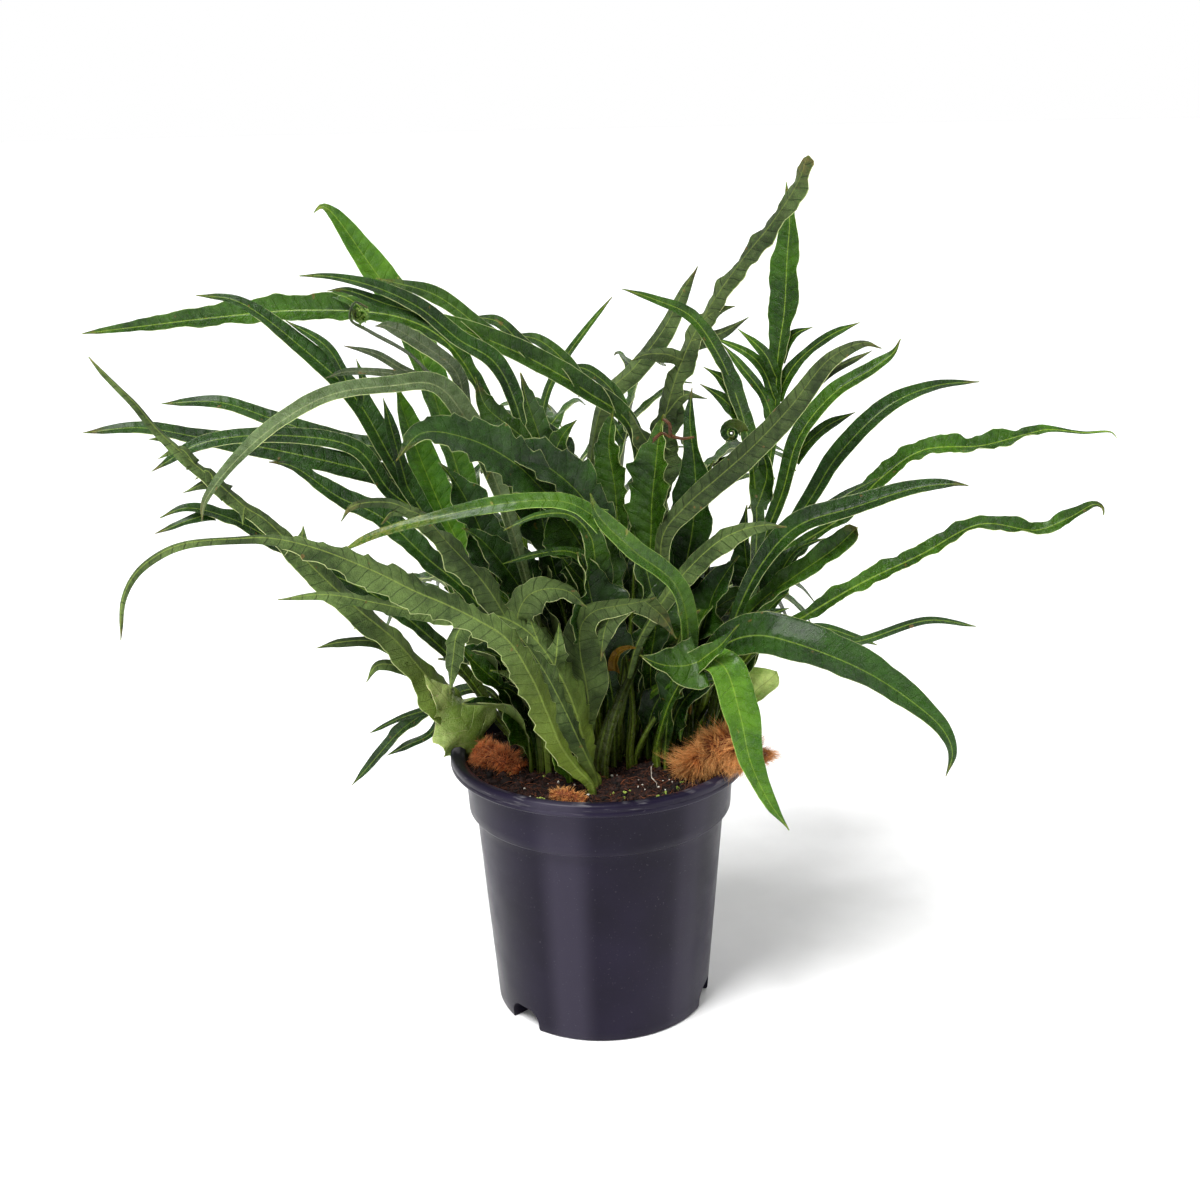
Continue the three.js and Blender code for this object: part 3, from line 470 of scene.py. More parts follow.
@dataclass
class Graph:
    """A tree of shader nodes, with a method for each node that the finishes use.

    Attributes:
        tree: the tree of a material, a world or a group.
        starts: a group's inputs by name, as the sockets that they come in at.
        ends: a group's outputs by name, as the sockets that they leave by.
    """

    tree: Tree
    starts: dict[str, Socket] = field(default_factory=dict)
    ends: dict[str, Socket] = field(default_factory=dict)

    def feed(self, node: bpy.types.Node, inputs: dict) -> None:
        """Links a socket, or sets a plain value or a screen colour, at each of a node's inputs."""
        for key, value in inputs.items():
            end = node.inputs[key]
            if isinstance(value, Socket):
                self.tree.links.new(value, end)
            else:
                end.default_value = linear(value) if end.type == "RGBA" else value

    def put(self, kind: str, inputs: dict | None = None, **settings) -> bpy.types.Node:
        """Adds a node.

        Args:
            kind: its type, without "ShaderNode".
            inputs: by socket name or number, a socket to link from or a plain value.
            settings: the node's own settings.
        """
        made = self.tree.nodes.new("ShaderNode" + kind)
        for name, value in settings.items():
            setattr(made, name, value)
        self.feed(made, inputs or {})
        return made

    def calc(self, operation: str, *values: Socket | float) -> Socket:
        """The result of a Math node on its values."""
        return self.put("Math", dict(enumerate(values)), operation=operation).outputs[0]

    def times(self, a: Socket | float, b: Socket | float) -> Socket:
        """One value times another."""
        return self.calc("MULTIPLY", a, b)

    def plus(self, a: Socket | float, b: Socket | float) -> Socket:
        """The sum of two values."""
        return self.calc("ADD", a, b)

    def between(self, share: Socket, a: Socket | float, b: Socket | float) -> Socket:
        """The value between two values at a share from 0 to 1."""
        return self.put("Mix", {0: share, 2: a, 3: b}).outputs[0]

    def blend(self, share: Socket, a: Socket | Colour, b: Socket | Colour) -> Socket:
        """The colour between two colours at a share from 0 to 1."""
        return self.put("Mix", {0: share, 6: a, 7: b}, data_type="RGBA").outputs[2]

    def dim(self, colour: Socket, value: Socket) -> Socket:
        """A colour made lighter or darker by a factor."""
        return self.put("HueSaturation", {"Color": colour, "Value": value}).outputs[0]

    def stretch(
        self, value: Socket, low: float, high: float, start: float = 0.0, end: float = 1.0
    ) -> Socket:
        """Takes the span from low to high smoothly onto the span from start to end, and clamps it."""
        inputs = {"Value": value, "From Min": low, "From Max": high, "To Min": start, "To Max": end}
        return self.put("MapRange", inputs, interpolation_type="SMOOTHSTEP").outputs[0]

    def noise(self, place: Socket, scale: Socket | float, detail: float = 2.0) -> Socket:
        """The value of a Noise Texture, about 0.2 to 0.8, at a place."""
        return self.put("TexNoise", {"Vector": place, "Scale": scale, "Detail": detail}).outputs[0]

    def parts(self, vector: Socket) -> Sequence[Socket]:
        """The three numbers of a vector."""
        return self.put("SeparateXYZ", {0: vector}).outputs[:]

    def vector(self, x: Socket | float, y: Socket | float) -> Socket:
        """A vector of two numbers and zero."""
        return self.put("CombineXYZ", {0: x, 1: y, 2: 0.0}).outputs[0]

    def mark(self, name: str) -> Socket:
        """The vector that the mesh holds under a name."""
        return self.put("Attribute", attribute_name=name).outputs["Vector"]

    def place(self) -> Socket:
        """The place of the shaded point on its object, in metres."""
        return self.put("TexCoord").outputs["Object"]

    def relief(self, height: Socket, depth: float) -> Socket:
        """A Bump node's normal for a height of 0 to 1 that stands depth metres proud."""
        return self.put("Bump", {"Height": height, "Distance": depth, "Strength": 1.0}).outputs[0]

    def use(self, group: Tree, inputs: dict) -> dict[str, Socket]:
        """Places a node group with its inputs and returns its outputs by name."""
        made = self.put("Group", node_tree=group)
        self.feed(made, inputs)
        return {socket.name: socket for socket in made.outputs}

    def shade(self, inputs: dict) -> None:
        """Feeds the inputs of the material's Principled shader."""
        self.feed(self.tree.nodes["Principled BSDF"], inputs)

    def close(self, results: dict[str, Socket]) -> Tree:
        """Links a group's results to its outputs and returns its tree."""
        for label, socket in results.items():
            self.tree.links.new(socket, self.ends[label])
        return self.tree


def new_material(name: str) -> tuple[Material, Graph]:
    """A material of one Principled shader, and its tree."""
    material = bpy.data.materials.new(name)
    material.use_nodes = True
    return material, Graph(material.node_tree)


def new_group(name: str, inputs: dict[str, str], outputs: Sequence[str]) -> Graph:
    """A shader node group with named sockets.

    Args:
        name: the group's name.
        inputs: the kind of each input socket, by name.
        outputs: the output sockets' names; one named Color holds a colour, the others a value.

    Returns:
        The group's tree with its sockets.
    """
    tree = bpy.data.node_groups.new(name, "ShaderNodeTree")
    for label, kind in inputs.items():
        tree.interface.new_socket(label, in_out="INPUT", socket_type="NodeSocket" + kind)
    for label in outputs:
        kind = "NodeSocketColor" if label == "Color" else "NodeSocketFloat"
        tree.interface.new_socket(label, in_out="OUTPUT", socket_type=kind)
    start = tree.nodes.new("NodeGroupInput").outputs
    end = tree.nodes.new("NodeGroupOutput").inputs
    return Graph(tree, {s.name: s for s in start if s.name}, {s.name: s for s in end if s.name})


def leaf_veins() -> Tree:
    """The pattern that veins make on a blade.

    Lateral veins leave the midrib forwards at a slant and repeat along it, with a finer net of
    cells between them. All distances are in millimetres, from the mesh's mark "leaf", which holds
    the distance to the side of the midrib, along it, and in from the margin.
    """
    graph = new_group(
        "leaf veins", {"Leaf": "Vector", "Spacing": "Float", "Share": "Float"},
        ("Midrib", "Vein", "Pleat", "Net", "Margin"),
    )
    leaf, spacing = graph.starts["Leaf"], graph.starts["Spacing"]
    side, along, rim = graph.parts(leaf)
    reach = graph.calc("ABSOLUTE", side)
    rib_width = graph.calc("MULTIPLY_ADD", graph.starts["Share"], -0.5, 0.75)
    wander = graph.times(graph.noise(leaf, 0.12), 3.0)
    slant = graph.calc("SUBTRACT", graph.plus(along, wander), graph.times(reach, VEIN_SLANT))
    off = graph.calc("PINGPONG", graph.calc("DIVIDE", slant, spacing), 0.5)
    cells = graph.put(
        "TexVoronoi", {"Vector": graph.vector(reach, along), "Scale": 0.55}, feature="DISTANCE_TO_EDGE"
    ).outputs[0]
    return graph.close({
        "Midrib": graph.stretch(graph.calc("DIVIDE", reach, rib_width), 0.5, 1.1, 1, 0),
        "Vein": graph.stretch(graph.times(off, spacing), 0.05, 0.42, 1, 0),
        "Pleat": graph.stretch(off, 0.0, 0.5),
        "Net": graph.stretch(cells, 0.02, 0.12, 1, 0),
        "Margin": graph.stretch(rim, 0.1, 0.34, 1, 0),
    })


def mottle() -> Tree:
    """A soft blotchy value with a finer one inside it, for colour and gloss that vary."""
    graph = new_group(
        "mottle", {"Place": "Vector", "Scale": "Float", "Share": "Float"}, ("Value", "Fine")
    )
    place, scale, share = graph.starts.values()
    coarse = graph.noise(place, scale, 3.0)
    fine = graph.noise(place, graph.times(scale, 9.0))
    both = graph.plus(
        graph.times(coarse, graph.calc("SUBTRACT", 1.0, share)), graph.times(fine, share)
    )
    return graph.close({"Value": graph.stretch(both, 0.36, 0.66), "Fine": graph.stretch(fine, 0.3, 0.7)})


def leaf_blade(veins: Tree, blotches: Tree) -> Tree:
    """The colour, roughness and relief of a leaf from its own colours.

    The mesh's mark "growth" holds 1 on the upper face and 0 under it, the share from the root to
    the tip, and a tone that tells fronds apart, which for some fronds also holds painted light and shade.

    Args:
        veins: the vein pattern's group.
        blotches: the mottle group.

    Returns:
        The group's tree.
    """
    colours = ["Upper Dark", "Upper Light", "Lower Dark", "Lower Light", "Rib", "Stalk", "Edge", "Dry"]
    graph = new_group(
        "leaf blade",
        {"Leaf": "Vector", "Growth": "Vector", "Place": "Vector", "Spacing": "Float"}
        | {label: "Color" for label in colours},
        ("Color", "Roughness", "Height"),
    )
    starts, times, plus, blend = graph.starts, graph.times, graph.plus, graph.blend
    place, light, dark = starts["Place"], starts["Upper Light"], starts["Lower Dark"]
    upper, share, tone = graph.parts(starts["Growth"])
    vein = graph.use(veins, {"Leaf": starts["Leaf"], "Spacing": starts["Spacing"], "Share": share})
    broad = graph.use(blotches, {"Place": place, "Scale": 38.0, "Share": 0.25})
    small = graph.use(blotches, {"Place": place, "Scale": 190.0, "Share": 0.4})
    top = blend(broad["Value"], starts["Upper Dark"], light)
    top = blend(times(vein["Vein"], 0.55), top, light)
    top = blend(times(vein["Net"], 0.16), top, light)
    under = blend(broad["Value"], dark, starts["Lower Light"])
    under = blend(times(vein["Vein"], 0.85), under, dark)
    under = blend(times(vein["Net"], 0.2), under, dark)
    colour = blend(upper, under, top)
    colour = blend(times(graph.stretch(share, 0.04, 0.42, 1, 0), 0.8), colour, starts["Stalk"])
    colour = blend(times(vein["Midrib"], 0.62), colour, starts["Rib"])
    # The tone's lightness is the frond's own colour, and for some fronds painted light and shade as well
    value = plus(times(tone, 0.22), 1.0)
    colour = graph.dim(colour, times(value, graph.stretch(small["Value"], 0.0, 1.0, 0.9, 1.1)))
    colour = blend(times(vein["Margin"], 0.9), colour, starts["Edge"])
    tip = graph.stretch(share, 0.955, 1.0)
    spots = graph.stretch(graph.noise(place, 170.0, 1.0), 0.75, 0.78)
    dry = graph.calc("MAXIMUM", times(tip, broad["Fine"]), spots)
    colour = blend(times(dry, 0.5), colour, starts["Dry"])
    shine = graph.stretch(small["Value"], 0.0, 1.0, 0.16, 0.36)
    rough = plus(graph.between(upper, 0.58, shine), times(vein["Margin"], 0.12))
    ribs = plus(vein["Vein"], times(vein["Net"], 0.35))
    height = times(ribs, graph.between(upper, 1.0, -0.8))
    height = plus(height, times(vein["Pleat"], 0.5))
    height = plus(height, times(small["Fine"], 0.35))
    return graph.close({"Color": colour, "Roughness": rough, "Height": height})


CREAM = (184, 194, 130)
BROWN = (118, 84, 44)


@dataclass(frozen=True)
class LeafFinish:
    """A frond's colours: each face's darker and lighter green, and what grows on it.

    Attributes:
        slot: the record's material slot that it belongs to.
        stalk: the colour towards the root.
        dry: the colour of dry tips and spots.
        spacing: millimetres between the lateral veins.
        coat: how much of a wet gloss lies over it.
    """

    name: str
    slot: str
    upper: tuple[Colour, Colour]
    lower: tuple[Colour, Colour]
    rib: Colour
    stalk: Colour
    edge: Colour = CREAM
    dry: Colour = BROWN
    spacing: float = VEIN_GAP
    coat: float = 0.0

    def material(self, group: Tree) -> Material:
        """The finish as a material around the leaf blade group."""
        material, graph = new_material(self.name)
        out = graph.use(group, {
            "Leaf": graph.mark("leaf"), "Growth": graph.mark("growth"), "Place": graph.place(),
            "Spacing": self.spacing, "Upper Dark": self.upper[0], "Upper Light": self.upper[1],
            "Lower Dark": self.lower[0], "Lower Light": self.lower[1], "Rib": self.rib,
            "Stalk": self.stalk, "Edge": self.edge, "Dry": self.dry,
        })
        graph.shade({
            "Base Color": out["Color"], "Roughness": out["Roughness"],
            "Normal": graph.relief(out["Height"], 0.00048), "Specular IOR Level": 0.22,
            "Coat Weight": self.coat, "Coat Roughness": 0.17, "Subsurface Weight": 0.12,
            "Subsurface Radius": (0.4, 1.0, 0.15), "Subsurface Scale": 0.002,
        })
        return material


class Tone(Enum):
    """The finishes that fronds have, by how the eye sees them."""

    DARK = LeafFinish(
        "leaf dark", "leaf_dark", ((13, 35, 3), (35, 66, 10)), ((44, 58, 20), (72, 88, 38)),
        (112, 138, 48), (66, 76, 14), coat=0.07,
    )
    DEEP = LeafFinish(
        "leaf deep", "leaf_deep", ((20, 45, 3), (52, 86, 12)), ((54, 70, 22), (84, 102, 40)),
        (124, 150, 48), (82, 94, 18), coat=0.07,
    )
    BRIGHT = LeafFinish(
        "leaf bright", "leaf_bright", ((42, 82, 8), (80, 122, 22)), ((66, 100, 26), (100, 132, 46)),
        (132, 162, 54), (84, 98, 22), (156, 184, 88), (150, 138, 70), coat=0.12,
    )
    GREY = LeafFinish(
        "leaf grey", "leaf_grey", ((20, 45, 3), (52, 86, 12)), ((42, 58, 22), (88, 108, 54)),
        (124, 142, 62), (98, 116, 30),
    )
    SILVER = LeafFinish(
        "leaf silver", "leaf_grey", ((62, 80, 42), (102, 120, 78)), ((66, 80, 44), (112, 126, 84)),
        (142, 154, 104), (98, 116, 30),
    )
    PAPERY = LeafFinish(
        "leaf papery", "leaf_papery", ((112, 140, 54), (168, 182, 108)), ((112, 140, 54), (168, 182, 108)),
        (110, 132, 54), (116, 140, 48), (196, 192, 140), (186, 172, 130), spacing=9.0,
    )
    WITHERED = LeafFinish(
        "leaf withered", "leaf_papery", ((62, 34, 14), (124, 76, 34)), ((62, 34, 14), (124, 76, 34)),
        (100, 60, 26), (70, 36, 16), (130, 84, 44), coat=0.07,
    )
    YELLOWING = LeafFinish(
        "leaf yellowing", "leaf_papery", ((92, 68, 12), (150, 112, 22)), ((92, 68, 12), (150, 112, 22)),
        (150, 120, 34), (96, 72, 18), (160, 128, 44),
    )


DARK, DEEP, BRIGHT, GREY, SILVER, PAPERY, WITHERED, YELLOWING = Tone


# Fronds


class Margin(Enum):
    """How a blade's margins are cut: their swing and teeth, as shares of half its width, and frill."""

    SMOOTH = (0.015, 0.0, 0.15)
    WAVED = (0.05, 0.0, 0.8)
    LOBED = (0.16, 0.0, 1.3)
    TOOTHED = (0.05, 0.3, 0.6)


SMOOTH, WAVED, LOBED, TOOTHED = Margin


@dataclass(frozen=True)
class Lobe:
    """A side lobe as the eye sees it.

    Attributes:
        points: rows of x, z and seen width; the lobe leaves the spine where the eye sees the first.
        reach: millimetres that its tip comes forward of its root.
        roll: degrees that its face turns from the eye to the sky.
    """

    points: Points
    reach: float = 0.0
    roll: float = FACE_ROLL


@dataclass(frozen=True)
class FrondForm:
    """A frond as the eye sees it.

    Attributes:
        tone: its finish.
        base: x and forward of its stalk on the soil.
        spine: rows of x, z, forward and seen width.
        lobes: its side lobes.
        edge: how its margins are cut.
        curl: how far the margins lift, as a share of the width.
        light: how much lighter than its finish it is; 1 adds about a fifth. It is partly the frond's
            own colour and partly painted light and shade: outer fronds lighter, those in the heart darker.
        lobe_light: the same for its lobes, on top.
        blunt: whether it ends as if cut off.
    """

    tone: Tone
    base: tuple[float, float]
    spine: Points
    lobes: Sequence[Lobe] = ()
    edge: Margin = WAVED
    curl: float = 0.2
    light: float = 0.0
    lobe_light: float = 0.0
    blunt: bool = False


# Each frond's light is partly painted light and shade: outer fronds lighter, those in the heart darker
SEEN_FRONDS: dict[str, FrondForm] = {
    "frond_left_arching": FrondForm(GREY, (-66, -14), [
        (-74, 170, -12, 9), (-81, 178, -10, 28), (-89, 188, -7, 22), (-98, 200, -4, 14), (-114, 221, 2, 13),
        (-132, 238, 8, 13), (-152, 259, 14, 13), (-166, 275, 17, 11), (-181, 292, 19, 8),
        (-191, 299, 21, 7), (-204, 312, 23, 9), (-217, 324, 24, 7), (-235, 343, 27, 5), (-245, 357, 28, 6),
        (-253, 366, 29, 3), (-260, 374, 30, 6), (-267, 383, 30, 2),
    ], [
        Lobe([(-226, 340, 4), (-233, 338, 3), (-240, 338, 2)]),
        Lobe([(-212, 328, 6), (-223, 332, 5), (-236, 327, 2)]),
        Lobe([(-202, 318, 6), (-210, 320, 5), (-217, 315, 2)]),
        Lobe([(-196, 310, 7), (-208, 313, 6), (-224, 308, 2)]),
        Lobe([(-189, 303, 8), (-192, 297, 5), (-193, 289, 2)], reach=5),
        Lobe([(-163, 272, 10), (-161, 281, 8), (-160, 288, 3)]),
        Lobe([(-103, 212, 6), (-125, 220, 6), (-145, 220, 5), (-158, 217, 2)], reach=8),
        Lobe([(-92, 192, 7), (-110, 204, 6), (-124, 206, 6), (-131, 196, 2)], reach=10),
    ], light=0.9),
    "frond_left_dark": FrondForm(DARK, (-52, -24), [
        (-57, 170, -26, 5), (-75, 200, -28, 8), (-100, 228, -28, 10), (-126, 249, -26, 11),
        (-152, 263, -22, 12), (-177, 280, -18, 12), (-200, 293, -14, 10), (-223, 299, -10, 7),
        (-238, 294, -8, 2),
    ], [
        Lobe([(-208, 296, 6), (-220, 293, 5), (-242, 285, 2)], reach=8),
    ], light=1.0),
    "frond_front_long": FrondForm(GREY, (-4, 52), [
        (-13, 140, 54, 7), (-22, 154, 58, 12), (-30, 176, 62, 14), (-37, 195, 66, 15), (-51, 220, 70, 14),
        (-66, 231, 74, 12), (-84, 241, 79, 13), (-101, 249, 83, 17), (-121, 260, 87, 16),
        (-155, 275, 92, 11), (-179, 281, 96, 5), (-197, 281, 98, 4), (-225, 279, 102, 5),
        (-239, 274, 103, 6), (-254, 263, 104, 5), (-263, 248, 105, 4), (-267, 224, 105, 2),
    ], edge=TOOTHED, curl=0.14, light=0.3),
    "frond_front_short": FrondForm(GREY, (-2, 42), [
        (-6, 144, 46, 6), (-12, 158, 50, 11), (-20, 178, 53, 13), (-30, 200, 56, 13), (-37, 212, 58, 9),
        (-43, 221, 60, 3),
    ], edge=TOOTHED, light=0.3),
    "frond_front_winged": FrondForm(GREY, (-1, 38), [
        (-5, 138, 38, 5), (-7, 147, 39, 11), (-10, 161, 40, 18), (-13, 174, 41, 22), (-18, 189, 42, 23),
        (-24, 202, 43, 23), (-31, 214, 44, 20), (-40, 225, 45, 14), (-57, 234, 48, 10), (-86, 234, 52, 8),
        (-120, 242, 57, 9), (-150, 248, 62, 8), (-177, 246, 68, 2),
    ], [
        Lobe([(-24, 204, 10), (-22, 216, 8), (-21, 229, 2)], reach=-3),
        Lobe([(-34, 217, 10), (-36, 227, 7), (-38, 237, 2)], reach=-3),
        Lobe([(-67, 234, 9), (-77, 225, 10), (-81, 208, 9), (-84, 188, 2)], reach=12),
    ], edge=TOOTHED, curl=0.14, light=1.1),
    "frond_left_straight": FrondForm(DARK, (-40, 2), [
        (-46, 180, 2, 4), (-56, 215, 4, 6), (-67, 242, 6, 10), (-94, 269, 6, 12), (-117, 292, 4, 12),
        (-140, 304, 2, 11), (-163, 321, -2, 8), (-176, 324, -4, 2),
    ], light=1.0),
    "frond_left_branched": FrondForm(DARK, (-34, -14), [
        (-42, 190, -16, 4), (-62, 240, -20, 6), (-92, 290, -24, 10), (-109, 323, -28, 12),
        (-127, 358, -32, 12), (-152, 384, -38, 11), (-185, 410, -46, 8), (-207, 414, -52, 2),
    ], [
        Lobe([
            (-96, 293, 7), (-111, 306, 9), (-128, 330, 9), (-164, 338, 9), (-211, 335, 8), (-240, 320, 2),
        ], reach=34),
        Lobe([
            (-104, 312, 12), (-131, 320, 14), (-174, 331, 12), (-212, 338, 10), (-244, 344, 8),
            (-275, 342, 2),
        ], reach=8),
        Lobe([(-112, 330, 9), (-143, 337, 10), (-171, 347, 9), (-200, 357, 8), (-231, 357, 2)], reach=-14),
        Lobe([(-128, 360, 7), (-140, 385, 6), (-161, 400, 2)], reach=-10),
        Lobe([(-122, 352, 6), (-122, 366, 5), (-125, 379, 2)], reach=-8),
        Lobe([(-101, 308, 7), (-108, 338, 7), (-112, 358, 2)], reach=10),
    ], edge=SMOOTH, light=1.1),
    "frond_top_left": FrondForm(DEEP, (-30, -34), [
        (-34, 200, -44, 4), (-42, 290, -62, 5), (-56, 350, -70, 7), (-76, 386, -76, 10),
        (-100, 400, -80, 13), (-150, 405, -86, 15), (-200, 402, -92, 13), (-240, 398, -98, 9),
        (-269, 395, -102, 2),
    ], [
        Lobe([(-118, 403, 9), (-130, 412, 6), (-142, 413, 2)], reach=-6),
    ], curl=0.28, light=1.3),
    "frond_light_green": FrondForm(BRIGHT, (-44, -44), [
        (-48, 200, -62, 5), (-60, 250, -78, 11), (-70, 300, -92, 16), (-80, 340, -104, 18),
        (-96, 395, -116, 20), (-116, 430, -126, 17), (-137, 458, -134, 6), (-142, 455, -135, 2),
    ], edge=SMOOTH, light=0.5),
    "frond_silvery_arch": FrondForm(SILVER, (-24, -2), [
        (-28, 200, 2, 4), (-38, 250, 6, 5), (-50, 300, 12, 8), (-68, 345, 28, 12), (-84, 364, 44, 10),
        (-107, 364, 58, 8), (-142, 359, 66, 9), (-181, 336, 74, 9), (-212, 303, 80, 6), (-215, 292, 80, 2),
    ], [
        Lobe([(-88, 364, 5), (-103, 370, 4), (-131, 372, 4), (-142, 369, 2)], reach=-5),
        Lobe([(-84, 363, 5), (-101, 373, 4), (-114, 381, 4), (-131, 386, 2)], reach=-12),
        Lobe([
            (-82, 361, 4), (-96, 380, 4), (-117, 393, 4), (-127, 400, 4), (-124, 409, 3), (-117, 406, 3),
        ], reach=-16, roll=75),
        Lobe([(-68, 344, 6), (-72, 370, 8), (-87, 384, 9), (-107, 396, 6), (-114, 396, 2)], reach=-22),
    ], edge=SMOOTH, light=0.3, lobe_light=-2.4),
    "frond_dark_arch": FrondForm(DARK, (-18, -22), [
        (-22, 200, -24, 4), (-32, 300, -26, 6), (-41, 353, -26, 9), (-52, 376, -24, 10), (-70, 388, -22, 9),
        (-90, 405, -20, 9), (-112, 416, -18, 8), (-135, 422, -16, 5), (-152, 423, -15, 2),
    ], [
        Lobe([(-84, 400, 7), (-106, 407, 6), (-128, 415, 4), (-138, 415, 2)], reach=10),
    ], edge=SMOOTH, light=0.6),
    "frond_long_arch": FrondForm(DEEP, (12, -26), [
        (16, 200, -34, 4), (24, 300, -46, 6), (20, 340, -48, 9), (-3, 359, -46, 12), (-34, 378, -44, 12),
        (-65, 392, -42, 11), (-90, 401, -40, 7), (-104, 405, -40, 2),
    ], [
        Lobe([(-48, 385, 8), (-62, 397, 9), (-82, 412, 9), (-112, 421, 2)], reach=-8),
        Lobe([(-26, 374, 7), (-37, 385, 8), (-49, 397, 7), (-64, 400, 2)], reach=-8),
        Lobe([(-2, 359, 7), (-13, 374, 8), (-28, 387, 7), (-44, 390, 2)], reach=-8),
        Lobe([(19, 344, 7), (11, 359, 8), (-3, 371, 6), (-14, 373, 2)], reach=-8),
    ], edge=SMOOTH, curl=0.28, light=0.4),
    "frond_thin_upright": FrondForm(DEEP, (-14, -44), [
        (-18, 220, -58, 4), (-29, 320, -70, 4), (-24, 357, -74, 5), (-14, 376, -76, 5), (-2, 392, -78, 5),
        (12, 409, -80, 2),
    ], edge=SMOOTH),
    "frond_grey_upright": FrondForm(GREY, (0, -40), [
        (0, 220, -54, 4), (-2, 310, -66, 6), (8, 356, -72, 12), (23, 371, -74, 12), (39, 391, -77, 12),
        (51, 414, -79, 7), (57, 424, -80, 2),
    ], edge=SMOOTH, light=-0.3),
    "frond_centre_broad": FrondForm(DARK, (4, -20), [
        (14, 200, -22, 5), (10, 255, -12, 7), (0, 290, 8, 18), (-14, 309, 18, 25), (-35, 323, 24, 20),
        (-52, 321, 28, 9), (-58, 312, 30, 2),
    ], [
        Lobe([
            (-2, 288, 9), (-22, 300, 15), (-42, 320, 24), (-66, 334, 20), (-92, 338, 12), (-107, 323, 2),
        ], reach=62),
    ], edge=TOOTHED),
    "frond_grey_green": FrondForm(GREY, (-28, 24), [
        (-33, 190, 32, 5), (-46, 222, 40, 9), (-61, 251, 52, 13), (-81, 276, 60, 13), (-96, 293, 60, 9),
        (-110, 295, 62, 5), (-117, 288, 62, 2),
    ], [
        Lobe([(-96, 292, 5), (-112, 300, 5), (-133, 298, 4), (-139, 290, 2)], reach=4),
        Lobe([(-47, 226, 11), (-36, 246, 17), (-18, 248, 12), (-5, 238, 3)], reach=8),
    ], edge=LOBED, light=-0.3),
    "frond_bright": FrondForm(BRIGHT, (22, 6), [
        (26, 160, 6, 4), (33, 172, 6, 5), (47, 196, 10, 8), (51, 222, 26, 10), (44, 250, 44, 10),
        (20, 271, 60, 11), (1, 292, 66, 11), (-2, 303, 67, 3),
    ], [
        Lobe([
            (4, 287, 8), (-15, 298, 8), (-50, 298, 8), (-87, 291, 6), (-123, 281, 5), (-141, 272, 2),
        ], reach=4),
        Lobe([(46, 194, 7), (46, 180, 11), (47, 168, 9), (47, 156, 2)], reach=14),
    ], edge=SMOOTH, light=-1.5),
    "frond_centre_thin": FrondForm(DEEP, (0, -8), [
        (0, 200, 0, 4), (1, 240, 12, 10), (0, 262, 22, 16), (-3, 280, 30, 9), (-14, 291, 36, 5),
        (-31, 291, 40, 4), (-50, 283, 44, 2),
    ], [
        Lobe([(1, 261, 7), (-13, 270, 5), (-32, 269, 4), (-51, 264, 2)], reach=6),
        Lobe([(2, 245, 11), (-10, 256, 13), (-19, 268, 4)], reach=6),
    ]),
    "frond_centre_folded": FrondForm(DEEP, (-8, -22), [
        (-12, 220, -14, 4), (-20, 300, -6, 8), (-29, 335, -2, 13), (-36, 358, 0, 11), (-38, 370, 0, 3),
    ], [
        Lobe([(-26, 325, 8), (-44, 340, 11), (-57, 352, 13), (-62, 368, 3)], reach=8),
        Lobe([(-24, 318, 7), (-16, 335, 10), (-8, 344, 3)], reach=8),
    ], edge=TOOTHED),
    "frond_centre_right": FrondForm(GREY, (5, 10), [
        (11, 167, 13, 3), (17, 193, 18, 3), (23, 215, 22, 4), (36, 238, 26, 8), (53, 260, 30, 11),
        (73, 277, 36, 12), (93, 283, 42, 7), (106, 282, 46, 2),
    ], light=-0.2),
    "frond_ribbed_star": FrondForm(GREY, (-8, 22), [
        (-5, 175, 26, 7), (-6, 192, 30, 21), (-9, 212, 35, 23), (-8, 227, 38, 19), (-1, 235, 41, 11),
        (12, 238, 42, 11), (24, 240, 42, 9), (34, 243, 40, 2),
    ], [
        Lobe([(10, 237, 10), (5, 224, 9), (2, 206, 2)], reach=8),
        Lobe([(26, 240, 9), (37, 231, 8), (45, 218, 2)], reach=8),
    ], edge=SMOOTH, curl=0.1, light=-0.4),
    "frond_heart": FrondForm(DEEP, (32, 14), [
        (38, 170, 30, 4), (44, 186, 40, 6), (52, 199, 48, 11), (61, 207, 54, 12), (70, 214, 58, 7),
        (80, 226, 62, 2),
    ], [
        Lobe([
            (58, 205, 16), (50, 202, 24), (40, 202, 25), (33, 204, 20), (27, 207, 12), (24, 209, 4),
        ], reach=4),
    ], light=-0.2),
    "frond_bright_hanging": FrondForm(BRIGHT, (20, -4), [
        (22, 168, 2, 4), (28, 183, 8, 5), (41, 193, 20, 6), (60, 206, 44, 8), (72, 200, 60, 18),
        (81, 170, 74, 19), (87, 142, 84, 15), (98, 117, 92, 11), (110, 99, 96, 2),
    ], edge=SMOOTH, curl=0.12),
    "frond_right_broad": FrondForm(DARK, (52, -2), [
        (55, 172, 2, 5), (60, 198, 10, 8), (74, 215, 26, 17), (91, 219, 38, 23), (114, 213, 50, 24),
        (150, 197, 64, 21), (178, 178, 74, 14), (197, 160, 81, 9), (203, 146, 84, 6), (200, 131, 85, 2),
    ], [
        Lobe([(84, 218, 9), (97, 231, 7), (108, 235, 2)], reach=-8),
        Lobe([(106, 216, 7), (124, 223, 5), (145, 217, 4), (158, 212, 2)], reach=-18),
        Lobe([(122, 210, 6), (150, 215, 5), (185, 226, 4), (213, 222, 2)], reach=-40),
    ], edge=SMOOTH, curl=0.14, light=1.3),
    "frond_right_curling": FrondForm(DEEP, (59, -32), [
        (61, 183, -28, 4), (67, 202, -24, 5), (84, 237, -18, 6), (89, 277, -14, 8), (86, 320, -12, 8),
        (79, 350, -10, 9), (68, 377, -8, 8), (53, 398, -6, 8), (34, 407, -5, 6), (17, 413, -4, 2),
    ], [
        Lobe([(79, 350, 6), (71, 363, 7), (60, 371, 2)], reach=6),
